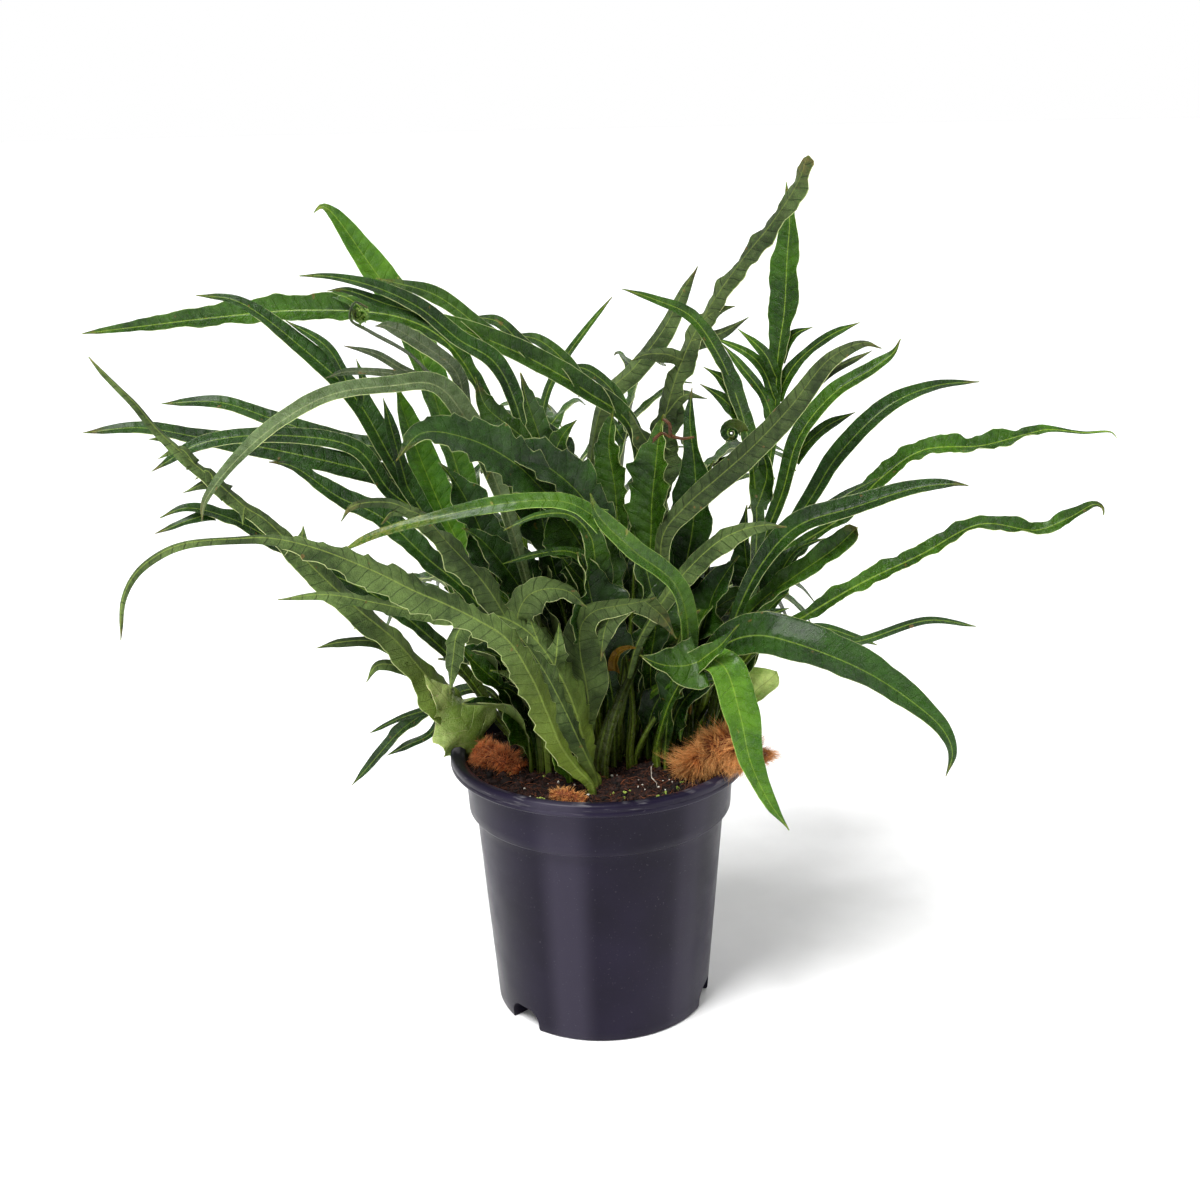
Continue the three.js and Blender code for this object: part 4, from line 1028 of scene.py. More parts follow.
        Lobe([(82, 337, 6), (73, 351, 7), (58, 362, 2)], reach=6),
        Lobe([(88, 292, 8), (95, 312, 12), (90, 330, 3)], reach=6),
    ]),
    "frond_tall_upright": FrondForm(DEEP, (62, -20), [
        (69, 189, -34, 4), (84, 240, -48, 5), (92, 293, -58, 6), (98, 330, -64, 6), (100, 375, -68, 8),
        (103, 400, -70, 16), (104, 427, -72, 17), (105, 447, -73, 11), (103, 466, -74, 2),
    ], [
        Lobe([(100, 374, 6), (108, 387, 6), (118, 391, 2)], reach=6),
        Lobe([(99, 354, 6), (109, 371, 7), (127, 386, 5), (143, 393, 2)], reach=10),
        Lobe([(99, 364, 6), (92, 378, 6), (78, 391, 2)], reach=6),
        Lobe([(97, 338, 6), (92, 355, 7), (80, 371, 5), (70, 383, 2)], reach=10),
        Lobe([(98, 352, 5), (88, 374, 6), (65, 387, 2)], reach=-6),
    ], light=1.2),
    "frond_tall_twisted": FrondForm(GREY, (50, -18), [
        (50, 183, -24, 4), (42, 240, -32, 7), (32, 289, -34, 12), (35, 318, -34, 21), (41, 350, -32, 12),
        (50, 377, -30, 10), (62, 400, -28, 9), (81, 427, -24, 10), (95, 444, -22, 10), (109, 465, -20, 9),
        (114, 479, -20, 8),
    ], [
        Lobe([(60, 395, 7), (68, 401, 6), (77, 403, 2)], reach=5),
        Lobe([(54, 384, 7), (68, 388, 6), (84, 397, 2)], reach=5),
        Lobe([(49, 375, 6), (40, 378, 7), (29, 378, 5), (21, 375, 2)], reach=6),
        Lobe([(40, 345, 7), (50, 356, 6), (62, 354, 2)], reach=6),
        Lobe([(36, 322, 8), (26, 336, 10), (20, 348, 3)], reach=6),
    ], edge=LOBED, light=-1.5, blunt=True),
    "frond_diagonal_ribbed": FrondForm(GREY, (34, -14), [
        (41, 176, -10, 4), (40, 230, 0, 5), (38, 278, 8, 9), (50, 294, 10, 12), (68, 310, 12, 13),
        (85, 325, 14, 13), (106, 347, 16, 13), (128, 374, 18, 11), (146, 382, 20, 6), (155, 379, 20, 2),
    ], [
        Lobe([(112, 355, 6), (126, 366, 5), (150, 378, 2)], reach=-8),
    ], edge=SMOOTH, curl=0.1, light=-1.0),
    "frond_shiny_dark": FrondForm(DARK, (44, -30), [
        (46, 220, -22, 4), (50, 258, -16, 11), (54, 280, -14, 23), (56, 305, -12, 20), (55, 322, -12, 9),
        (53, 341, -12, 9), (54, 360, -12, 2),
    ]),
    "frond_right_fork": FrondForm(DEEP, (48, -44), [
        (60, 200, -46, 4), (86, 258, -44, 5), (103, 300, -42, 8), (112, 332, -42, 10), (130, 355, -42, 10),
        (152, 369, -44, 9), (162, 377, -46, 5), (165, 384, -46, 2),
    ], [
        Lobe([(109, 320, 7), (126, 337, 7), (142, 345, 2)], reach=-6),
    ], edge=SMOOTH, light=1.3),
    "frond_right_rising": FrondForm(DARK, (34, -50), [
        (50, 200, -60, 4), (90, 255, -72, 6), (118, 296, -80, 9), (133, 321, -84, 11), (160, 348, -90, 11),
        (184, 358, -96, 8), (208, 360, -102, 2),
    ], edge=SMOOTH, light=1.7),
    "frond_right_glossy": FrondForm(DARK, (62, -4), [
        (68, 190, 0, 4), (80, 235, 4, 6), (94, 263, 6, 10), (112, 282, 8, 13), (143, 292, 14, 12),
        (176, 302, 20, 9), (196, 304, 24, 6), (205, 303, 26, 2),
    ], [
        Lobe([(118, 284, 6), (138, 299, 5), (157, 309, 2)], reach=-8),
    ], edge=SMOOTH, light=0.6),
    "frond_right_blunt": FrondForm(DEEP, (38, 4), [
        (50, 175, -2, 4), (72, 215, -8, 6), (92, 239, -2, 9), (112, 254, 4, 12), (134, 270, 8, 12),
        (145, 281, 10, 8),
    ], [
        Lobe([(96, 243, 6), (112, 269, 5), (127, 275, 2)], reach=-5),
    ], light=0.6, blunt=True),
    "frond_far_right": FrondForm(DEEP, (24, -36), [
        (50, 208, -50, 4), (100, 262, -58, 5), (138, 288, -62, 7), (157, 308, -64, 10), (179, 323, -68, 11),
        (211, 325, -72, 11), (236, 331, -76, 10), (246, 333, -77, 3), (266, 331, -80, 2),
        (281, 331, -82, 2), (284, 328, -82, 1),
    ], edge=LOBED, curl=0.26, light=2.2),
    "frond_right_wavy": FrondForm(DEEP, (60, 10), [
        (72, 185, 8, 4), (92, 213, 12, 4), (114, 228, 16, 6), (147, 248, 20, 9), (180, 264, 24, 9),
        (213, 281, 28, 8), (244, 277, 32, 8), (262, 284, 34, 7), (275, 291, 36, 6), (279, 289, 36, 2),
        (280, 285, 36, 1),
    ], edge=LOBED, curl=0.26, light=0.9),
    "shield_leaf_right": FrondForm(PAPERY, (68, 3), [
        (80, 172, 0, 6), (86, 181, -2, 15), (91, 187, -3, 20), (97, 192, -4, 18), (102, 197, -6, 5),
    ], blunt=True, light=2.8),
    "frond_low_left": FrondForm(DARK, (-56, -40), [
        (-60, 187, -47, 4), (-74, 190, -56, 7), (-91, 181, -64, 8), (-112, 167, -72, 8),
        (-133, 144, -78, 6), (-143, 133, -80, 2),
    ], [
        Lobe([(-84, 183, 5), (-96, 164, 5), (-110, 157, 5), (-122, 151, 2)], reach=8),
        Lobe([(-93, 179, 5), (-112, 174, 4), (-131, 165, 2)], reach=-12),
    ]),
}

# Leaves among the fronds that fill the heart of the plant
INNER_LEAVES: dict[str, FrondForm] = {
    "leaf_bright_behind": FrondForm(BRIGHT, (-40, -46), [
        (-46, 200, -80, 5), (-66, 255, -100, 11), (-82, 292, -108, 17), (-94, 325, -112, 18),
        (-102, 352, -114, 12), (-105, 366, -114, 3),
    ], edge=SMOOTH, light=0.8),
    "leaf_middle_broad": FrondForm(DARK, (8, 13), [
        (8, 182, 18, 5), (5, 204, 20, 15), (1, 226, 22, 29), (-3, 244, 24, 34), (-6, 260, 26, 26),
        (-10, 270, 28, 5),
    ], edge=LOBED),
    "leaf_left_base": FrondForm(DEEP, (-38, 11), [
        (-40, 156, 14, 9), (-43, 166, 16, 23), (-47, 179, 18, 21), (-54, 191, 19, 16), (-64, 201, 20, 13),
        (-73, 211, 21, 8), (-79, 220, 22, 2),
    ], edge=LOBED),
    "leaf_front_small": FrondForm(BRIGHT, (-17, 36), [
        (-20, 140, 38, 6), (-24, 149, 39, 13), (-29, 158, 40, 14), (-34, 166, 41, 3),
    ], edge=LOBED),
    "leaf_left_wide": FrondForm(DARK, (-20, -3), [
        (-22, 183, -4, 6), (-28, 207, -4, 17), (-34, 228, -4, 27), (-42, 249, -4, 30), (-53, 266, -5, 24),
        (-64, 279, -6, 14), (-73, 285, -6, 2),
    ], edge=TOOTHED),
    "leaf_shaded": FrondForm(DARK, (-15, -13), [
        (-19, 189, -12, 5), (-25, 213, -12, 15), (-29, 234, -12, 20), (-32, 251, -12, 15),
        (-36, 266, -12, 4),
    ], edge=SMOOTH),
    "leaf_under_arch": FrondForm(DEEP, (10, -5), [
        (7, 218, -2, 7), (2, 242, 0, 20), (-4, 265, 2, 32), (-14, 284, 6, 36), (-26, 299, 10, 30),
        (-39, 308, 14, 18), (-48, 310, 16, 3),
    ], edge=LOBED),
    "leaf_middle_right": FrondForm(DEEP, (28, 2), [
        (30, 182, 4, 6), (30, 206, 6, 15), (33, 230, 8, 23), (30, 250, 10, 23), (25, 268, 12, 15),
        (18, 277, 14, 3),
    ], edge=LOBED),
    "leaf_behind_heart": FrondForm(DARK, (46, -6), [
        (52, 181, -2, 6), (56, 205, -4, 16), (61, 226, -6, 23), (66, 244, -8, 22), (74, 258, -10, 13),
        (80, 266, -12, 3),
    ], edge=LOBED),
    "leaf_upright_lobed": FrondForm(DEEP, (20, -14), [
        (24, 218, -10, 5), (27, 247, -10, 8), (31, 273, -8, 15), (32, 296, -6, 23), (34, 315, -6, 26),
        (36, 332, -6, 18), (39, 346, -6, 4),
    ], edge=TOOTHED),
    "leaf_right_base": FrondForm(DEEP, (64, -8), [
        (70, 160, -6, 6), (75, 181, -8, 13), (82, 205, -10, 18), (90, 224, -12, 15), (100, 238, -14, 8),
        (108, 244, -16, 2),
    ]),
    "leaf_right_inner": FrondForm(DARK, (62, -22), [
        (78, 180, -20, 5), (85, 204, -24, 11), (87, 229, -28, 16), (85, 255, -32, 18), (83, 275, -34, 13),
        (84, 295, -36, 3),
    ]),
    "leaf_upper_middle": FrondForm(DARK, (-4, -26), [
        (-8, 265, -22, 5), (-12, 288, -24, 11), (-17, 311, -26, 20), (-23, 328, -28, 23),
        (-30, 341, -30, 16), (-36, 351, -32, 3),
    ], edge=TOOTHED),
    "leaf_left_middle": FrondForm(DEEP, (-47, -22), [
        (-55, 190, -20, 4), (-60, 214, -22, 11), (-66, 235, -24, 18), (-74, 251, -26, 19),
        (-86, 262, -28, 13), (-97, 268, -30, 2),
    ], edge=LOBED),
    "leaf_arch_shadow": FrondForm(DARK, (-10, -16), [
        (-16, 225, -16, 8), (-22, 256, -16, 20), (-28, 284, -18, 30), (-31, 306, -20, 28),
        (-33, 326, -22, 16), (-36, 340, -24, 3),
    ], edge=LOBED),
    "leaf_behind_centre": FrondForm(DEEP, (10, -20), [
        (10, 240, -20, 6), (13, 276, -22, 14), (12, 306, -22, 20), (9, 330, -24, 17), (12, 350, -26, 3),
    ], edge=TOOTHED),
    "leaf_left_shadow": FrondForm(DARK, (-36, -24), [
        (-44, 210, -26, 8), (-52, 240, -28, 18), (-58, 268, -30, 24), (-66, 292, -32, 20),
        (-76, 312, -34, 12), (-84, 322, -36, 3),
    ], edge=LOBED),
    "leaf_right_shadow": FrondForm(DARK, (40, -24), [
        (44, 200, -24, 8), (48, 230, -26, 18), (50, 258, -28, 24), (54, 284, -30, 20), (60, 306, -32, 12),
        (66, 320, -34, 3),
    ], edge=LOBED),
    "leaf_far_right_shadow": FrondForm(DARK, (56, -30), [
        (72, 196, -30, 8), (84, 220, -32, 17), (96, 244, -34, 20), (108, 262, -36, 15), (122, 276, -38, 3),
    ], edge=LOBED),
    "papery_base": FrondForm(PAPERY, (-64, -9), [
        (-68, 154, -8, 12), (-73, 164, -7, 34), (-79, 174, -6, 38), (-85, 183, -5, 27), (-91, 191, -4, 17),
        (-98, 200, -3, 4),
    ], edge=LOBED, curl=-0.1, light=-0.3),
}

# Bare winged stalks at the foot of the plant, as rows of x, z, forward and seen width
STALKS: Sequence[Points] = (
    [(4, 144, 30, 5), (8, 166, 28, 6), (15, 187, 22, 5), (24, 207, 14, 4), (30, 235, 6, 3)],
    [(0, 146, 24, 6), (4, 164, 22, 5), (10, 182, 18, 4), (14, 200, 14, 4), (16, 230, 10, 3)],
    [(21, 147, 14, 3), (29, 165, 13, 3), (40, 181, 14, 3), (55, 204, 18, 3)],
    [(34, 151, 18, 5), (41, 173, 20, 4), (48, 192, 22, 4), (52, 215, 20, 3)],
    [(61, 155, 10, 6), (67, 175, 10, 5), (72, 202, 8, 4), (75, 230, 4, 3)],
    [(52, 154, 12, 6), (53, 172, 12, 5), (52, 192, 10, 4), (56, 220, 4, 3)],
    [(67, 160, 2, 6), (74, 181, 2, 5), (81, 199, 0, 4), (88, 230, -6, 3)],
    [(-12, 152, 4, 5), (-14, 180, 2, 4), (-16, 220, -4, 3), (-22, 250, -8, 3)],
    [(12, 152, 6, 5), (14, 185, 2, 4), (20, 230, -6, 3), (22, 262, -10, 3)],
    [(27, 154, 0, 5), (30, 190, -4, 4), (36, 240, -10, 3), (38, 270, -14, 3)],
    [(44, 158, -4, 5), (50, 190, -8, 4), (60, 240, -14, 3), (64, 270, -18, 3)],
    [(-27, 156, -8, 5), (-32, 190, -12, 4), (-46, 240, -18, 3), (-54, 270, -22, 3)],
    [(-5, 160, -14, 5), (-3, 200, -16, 4), (2, 250, -20, 4), (4, 290, -24, 3)],
    [(17, 150, 16, 5), (19, 172, 14, 4), (17, 200, 8, 4), (12, 232, 2, 3)],
)

# Fronds behind the pot's axis, in plain millimetres: the stalk's x, y on the soil, then x, y, z
BACK_FRONDS: dict[str, tuple[Points, Points]] = {
    "frond_back_left": ((-30, 52), ((-42, 84, 210), (-66, 128, 262), (-96, 170, 274), (-122, 206, 240))),
    "frond_back_middle": ((-12, 60), ((-16, 92, 240), (-26, 138, 306), (-38, 186, 318), (-48, 226, 286))),
    "frond_back_tall": ((6, 58), ((12, 84, 250), (22, 112, 324), (34, 144, 352), (48, 180, 344))),
    "frond_back_right": ((22, 56), ((42, 92, 226), (70, 136, 282), (98, 174, 290), (122, 204, 262))),
    "frond_back_low_left": (
        (-50, 36), ((-74, 74, 196), (-98, 112, 222), (-124, 144, 206), (-142, 166, 172))
    ),
    "frond_back_low_right": (
        (44, 54), ((64, 92, 190), (88, 132, 214), (112, 166, 200), (132, 190, 164))
    ),
}
BACK_WIDTH = 13.0
BACK_LOBE_WIDTH = 9.0
BACK_LOBE_PAIRS = 3
BACK_LOBE_LENGTH = 58.0
BACK_SEED = 7

# Scraps that the eye sees among the stalks: finish and roll, then the width and path of each
SCRAPS = {
    "withered_bits": (WITHERED, 70, (
        (2.6, [(38, 343, 34), (41, 340, 36), (42, 334, 37), (48, 332, 38), (55, 333, 38)]),
        (2.6, [(33, 331, 34), (38, 335, 36), (42, 333, 37)]),
    )),
    "yellowing_leaves": (YELLOWING, 30, (
        (5, [(10, 200, 22), (10, 206, 23), (13, 211, 24), (18, 213, 24), (22, 213, 24)]),
        (4, [(51, 174, 18), (52, 180, 18), (51, 187, 18)]),
    )),
}


def back_draws(state: int) -> Iterator[float]:
    """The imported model's own draws between 0 and 1, by which the lobes behind have its lengths.

    Each state is 16807 times the last, less whole 2147483647s, and a draw is its share of that.
    """
    while True:
        state = state * 16807 % 2147483647
        yield state / 2147483647


@dataclass
class Fronds:
    """All fronds of the plant.

    Attributes:
        step: millimetres between a blade's stations.
        columns: points across each face.
        waves: millimetres a radian and relative swing of the waves along a margin.
        tooth_gap: millimetres from tooth to tooth.
        young_reach: the least and most that a young frond reaches outwards.
        curl_points: points of a rolled-up tip.
    """

    step: float = 1.9
    columns: int = 13
    waves: Points = ((5.3, 1.0), (2.3, 0.6), (0.9, 0.2))
    tooth_gap: float = 12.0
    young_reach: tuple[float, float] = (25, 95)
    young_rise: tuple[float, float] = (80, 180)
    young_width: tuple[float, float] = (12, 26)
    curl_points: int = 22
    materials: dict[Tone, Material] = field(default_factory=dict)

    def blade(
        self, line: Ribbon, draw: Draw, edge: Margin = WAVED, curl: float = 0.2, tone: float = 0.0,
        from_below: bool = False, shares: tuple[float, float] = (0.0, 1.0), stalk: bool = True,
        blunt: bool = False,
    ) -> Skin:
        """A blade as a closed thin skin along a ribbon.

        Across the blade u goes from -1 to 1, packed towards the margins by a sine. Each side is
        half the width wide, times one plus three waves of different lengths, plus forward teeth
        where the edge has them. A point stands towards the upper face by the curl times u to the
        1.2, a margin ruffle that grows as u to the 2.4, and low pleats between the lateral veins.
        The skin's thickness falls from an oval at the stalk to the blade's own, with a rib in the
        middle of its lower face, and closes at both margins.

        Args:
            line: the ribbon.
            draw: the source of the waves' phases.
            edge: how the margins are cut.
            curl: how far the margins lift, as a share of the width.
            tone: the frond's lightness, its own colour and for some fronds painted light and shade
                too; 1 adds about a fifth.
            from_below: whether the eye sees the lower face.
            shares: where the blade's two ends lie from the frond's root to its tip.
            stalk: whether the start is a stalk, and not a side lobe's foot.
            blunt: whether the end is cut off instead of pointed.

        Returns:
            The skin with its marks "leaf" and "growth".
        """
        u = np.sin(np.linspace(-1, 1, self.columns) * math.pi / 2)[None, :]
        side = np.where(u < 0, 0, 1)
        phases = draw.uniform(0, TURN, (4, 2))
        arc, width, share = (values[:, None] for values in (line.arc, line.width, line.share))
        left = line.arc[-1] - arc
        broad = smoothstep(5, 9, width)
        swing, teeth, frill = edge.value
        waves = sum(
            size * np.sin(arc / length + phases[i][side]) for i, (length, size) in enumerate(self.waves)
        )
        saw = ((arc + 3 * phases[2][side]) / self.tooth_gap % 1) ** 2 - 0.33
        half = width / 2 * (1 + broad * (swing * waves + teeth * saw))
        half = half * np.clip(left / (2.5 if blunt else 0.9 * width + 7), 0.002, 1) ** 0.75
        if not stalk:
            half = half * (1 + 0.55 * np.exp(-arc / 6))
        x = u * half
        bend = np.abs(u)
        toward = -1 if from_below else 1
        ruffle = 0.1 * np.sin(arc / 4.4 + phases[3][side]) + 0.035 * np.sin(arc / 1.7 + phases[2][side])
        lift = width * (toward * curl * bend**1.2 + broad * frill * ruffle * bend**2.4)
        turns = (arc - VEIN_SLANT * np.abs(x)) / VEIN_GAP
        pleats = 0.16 * broad * np.cos(TURN * turns) * np.sqrt(bend * (1 - bend) * 4)
        oval = np.minimum(STALK_THICKNESS * (1 - 0.7 * share), 0.75 * width) / 2
        sheet = BLADE_THICKNESS / 2 * (0.45 + 0.55 * np.sqrt(1 - bend**4))
        body = (1 - broad) * oval * np.sqrt(1 - np.minimum(bend, 1) ** 2) + broad * sheet
        body = body * (bend < 1)
        if not stalk:
            body = np.minimum(body, sheet * (bend < 1))
        rib_width = 0.9 - 0.45 * share
        rib = broad * 1.1 * (1 - 0.75 * share) * np.exp(-((x / rib_width) ** 2))
        middle = lift + toward * pleats
        seen = middle + body + (rib if from_below else 0.25 * rib)
        away = middle - body - (0.25 * rib if from_below else rib)
        rim = half - np.abs(x) + 4 * (1 - broad)
        upper = np.where(np.arange(2 * self.columns - 2) < self.columns, 1.0, 0.0)
        upper[[0, self.columns - 1]] = 0.5
        if from_below:
            upper = 1 - upper
        across = around(x, x)
        start, end = shares
        values = {
            "leaf": (across, arc, around(rim, rim)),
            "growth": (upper, start + (end - start) * share, tone),
        }
        marks = {
            name: np.stack([np.broadcast_to(row, across.shape) for row in rows], axis=-1).reshape(-1, 3)
            for name, rows in values.items()
        }
        points = line.places(across, around(seen, away))
        return Skin(points.reshape(-1, 3), tube_faces(*across.shape), marks)

    def seen(self, form: FrondForm, draw: Draw) -> Skin:
        """A frond of the drawing: its stalk and midrib with their wings, then its side lobes.

        Args:
            form: the frond as the eye sees it.
            draw: the source of its tone, twists and waves.
        """
        spine = np.array(form.spine, float)
        widths = spine[:, 3] / FACING
        if not form.blunt:
            widths = widths * (1 - TIP_SLIMMING * smoothstep(0.6, 1.0, np.linspace(0, 1, len(widths))))
        x, forward = form.base
        points = np.vstack([stalk_foot(x, -forward), from_drawing(spine[:, :3])])
        widths = np.append([STALK_WIDTH, STALK_WIDTH], widths)
        # The frond's light, partly painted light and shade, with a little random tone
        tone = form.light + draw.uniform(-0.4, 0.4)
        twist = (draw.uniform(4, 11), draw.uniform(0, TURN))
        line = ribbon(points, widths, FACE_ROLL, self.step, twist)
        common = {"edge": form.edge, "from_below": form.tone is GREY}
        skins = [self.blade(line, draw, curl=form.curl, blunt=form.blunt, tone=tone, **common)]
        drawn = seen_from_eye(line.centre)
        for lobe in form.lobes:
            rows = np.array(lobe.points, float)
            near = int(np.argmin(np.linalg.norm(drawn - rows[0, :2], axis=1)))
            root = line.centre[near]
            forward = -root[1] + lobe.reach * np.arange(len(rows)) / (len(rows) - 1)
            places = from_drawing(np.column_stack([rows[:, :2], forward]))
            places[0] = root - LOBE_SINK * line.face[near]
            twist = (draw.uniform(3, 12), draw.uniform(0, TURN))
            side = ribbon(places, rows[:, 2] / FACING, lobe.roll, self.step, twist, line.face[near])
            common |= {"shares": (line.share[near], 1.0), "tone": tone + form.lobe_light}
            skins.append(self.blade(side, draw, curl=0.1, stalk=False, **common))
        return joined(skins)

    def behind(self, base: Sequence[float], spine: Points, draws: Iterator[float], draw: Draw) -> Skin:
        """A frond behind the pot's axis, with pairs of side lobes that shorten to its tip.

        Args:
            base: x and y of its stalk on the soil.
            spine: rows of x, y and z.
            draws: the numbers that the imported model's side lobes take their lengths from.
            draw: the source of its tone, twists and waves.
        """
        points = np.vstack([stalk_foot(*base), spine])
        widths = [STALK_WIDTH, STALK_WIDTH, 5, BACK_WIDTH, BACK_WIDTH, 3]
        tone = draw.uniform(-1, 1)
        line = ribbon(points, widths, BACK_ROLL, self.step, (6, draw.uniform(0, 6)))
        skins = [self.blade(line, draw, tone=tone)]
        reaches = np.array([[0, 0, 0], [0.25, 0.3, 0.08], [0.55, 0.55, 0.02], [0.8, 0.72, -0.2]])
        lobe_widths = [BACK_LOBE_WIDTH, BACK_LOBE_WIDTH, BACK_LOBE_WIDTH * 0.8, 2]
        for pair in range(BACK_LOBE_PAIRS):
            for hand in (-1, 1):
                near = int(np.searchsorted(line.share, 0.5 + 0.16 * pair + 0.02 * hand))
                tangent = np.cross(line.face[near], line.across[near])
                side = unit(np.cross(tangent, [0, 0, 1]))
                length = BACK_LOBE_LENGTH * (1 - 0.22 * pair) * (0.85 + 0.3 * next(draws))
                root = line.centre[near] - LOBE_SINK * line.face[near]
                places = root + length * reaches @ np.array([tangent, hand * side, [0, 0, 1]])
                twist = (draw.uniform(4, 10), draw.uniform(0, 6))
                own = ribbon(places, lobe_widths, BACK_ROLL, self.step, twist, line.face[near])
                ends = (line.share[near], 1.0)
                skins.append(self.blade(own, draw, tone=tone, shares=ends, stalk=False, curl=0.1))
        return joined(skins)

    def young(self, draw: Draw) -> Skin:
        """A small frond that rises from a chance place on the soil and leans outwards.

        Its middle line is an arc: outwards by the reach times t to the 1.8, upwards by the rise
        times t less 0.35 t to the third, and sideways by a little times the sine of half a turn.
        None leans to the front, and those at the sides stay low.
        """
        turn = math.pi + draw.uniform(-2.1, 2.1)
        near = 44 * math.sqrt(draw.uniform(0.02, 1))
        ahead = (1 + math.cos(turn)) / 2
        reach = draw.uniform(*self.young_reach) * (1 - 0.75 * ahead)
        rise = draw.uniform(*self.young_rise) * (1 - 0.5 * ahead)
        out = np.array([math.sin(turn), -math.cos(turn), 0])
        sideways = np.array([math.cos(turn), math.sin(turn), 0])
        t = np.linspace(0, 1, 6)[:, None]
        line = out * (near + reach * t**1.8) + sideways * draw.normal(0, 8) * np.sin(math.pi * t)
        line[:, 2:] = SOIL_TOP + STALK_RISE + 8 + rise * (t - 0.35 * t**3)
        broad = draw.uniform(*self.young_width)
        widths = [3, 3.5, 4, 0.4 * broad, 0.9 * broad, broad, 0.75 * broad, 2.5]
        twist = (draw.uniform(5, 16), draw.uniform(0, 6))
        points = np.vstack([stalk_foot(*(out * near)[:2]), line])
        own = ribbon(points, widths, draw.uniform(20, 75), self.step, twist)
        edge = TOOTHED if draw.uniform() < 0.35 else LOBED
        return self.blade(own, draw, edge, tone=draw.uniform(-1, 0.6), from_below=draw.uniform() < 0.3)

    def coil(self, path: Points, width: float, draw: Draw, roll: float = 70) -> Skin:
        """A rolled-up tip or a withered scrap: a narrow blade along a path that the eye sees."""
        rows = np.array(path, float)
        line = ribbon(from_drawing(rows), [width] * (len(rows) - 1) + [width * 0.6], roll, 0.8)
        return self.blade(line, draw, curl=0.35, stalk=False)

    def spiral(
        self, x: float, z: float, forward: Sequence[float], radius: float, start: float
    ) -> Array:
        """The path of a rolled-up tip: 1.6 turns whose radius shrinks to little over a quarter.

        Args:
            x: where the eye sees its middle.
            z: the same, upwards.
            forward: how far forward its two ends stand.
            radius: its radius at the start.
            start: its angle there, in radians.
        """
        turns = np.linspace(0, 1.6 * TURN, self.curl_points)
        radii = radius * (1 - 0.72 * turns / turns[-1])
        angles = turns + start
        depths = np.linspace(*forward, self.curl_points)
        return np.column_stack([x + radii * np.cos(angles), z + radii * np.sin(angles), depths])

    def bare_stalk(self, rows: Points, draw: Draw) -> Skin:
        """A stalk whose blade is hidden or lost, rooted below the soil."""
        drawn = np.array(rows, float)
        points = from_drawing(drawn[:, :3])
        points = np.vstack([stalk_foot(*points[0, :2]), points])
        widths = [STALK_WIDTH, *drawn[:1, 3], *drawn[:, 3]]
        line = ribbon(points, widths, 30, self.step, (8.0, draw.uniform(0, 6)))
        # The tone darkens each bare stalk to three tenths to nine tenths: painted shade for stalks under
        # the fronds
        return self.blade(line, draw, curl=0.3, tone=draw.uniform(-3.2, -0.4), shares=(0.0, 0.3))

    def dress(self, name: str, skins: Sequence[Skin], tone: Tone, replaces: Sequence[str] = ()) -> None:
        """Makes one piece of blades in a finish."""
        make_piece(name, joined(skins), self.materials[tone], replaces)

    def build(self) -> None:
        """Makes every frond's piece in its finish."""
        group = leaf_blade(leaf_veins(), mottle())
        self.materials = {tone: tone.value.material(group) for tone in Tone}
        hidden = Fronds(step=2.8, columns=9)
        for index, (name, form) in enumerate(SEEN_FRONDS.items()):
            self.dress(f"fine_{name}", [self.seen(form, seeded(index))], form.tone, [name])
        for index, (name, form) in enumerate(INNER_LEAVES.items()):
            self.dress(name, [self.seen(form, seeded(200 + index))], form.tone)
        for name, tone, count in (("young_dark", DARK, 34), ("young_deep", DEEP, 26)):
            draw = seeded(count)
            self.dress(name, [hidden.young(draw) for _ in range(count)], tone)
        draw = seeded(300)
        for name, tone, bright in (("olive_stalks", DEEP, False), ("bright_stalks", BRIGHT, True)):
            chosen = [rows for rows in STALKS if (rows[0][0] > BRIGHT_FROM) == bright]
            self.dress(name, [hidden.bare_stalk(rows, draw) for rows in chosen], tone)
        self.crozier(draw)
        curled = self.spiral(75, 335, (2, 8), 2.3, 0.0)
        self.dress("curled_tip", [self.coil(curled, 8.5, draw, 10)], DARK)
        for name, (tone, roll, scraps) in SCRAPS.items():
            self.dress(name, [self.coil(path, width, draw, roll) for width, path in scraps], tone)
        draws = back_draws(BACK_SEED)
        for index, (name, (base, spine)) in enumerate(BACK_FRONDS.items()):
            skin = self.behind(base, spine, draws, seeded(100 + index))
            self.dress(f"fine_{name}", [skin], DEEP, [name])

    def crozier(self, draw: Draw) -> None:
        """Makes the rolled-up young tip at the left, with beads where its leaflets will open."""
        path = self.spiral(-121, 402, (28, 28), 4.6, 2.4)
        self.dress("crozier", [self.coil(path, 4.0, draw)], BRIGHT)
        beads = from_drawing(np.repeat(path, 3, axis=0))
        beads = beads + draw.normal(0, 0.7, beads.shape)
        tones = draw.uniform(0, 1, len(beads))
        skin = lumps(beads, draw.uniform(0.5, 1.1, len(beads)), tones, draw)
        finish = BitFinish("crozier beads", (70, 104, 28), (150, 174, 84), (150, 174, 84), 0.5)
        make_piece("crozier_beads", skin, finish.material())


# Pot


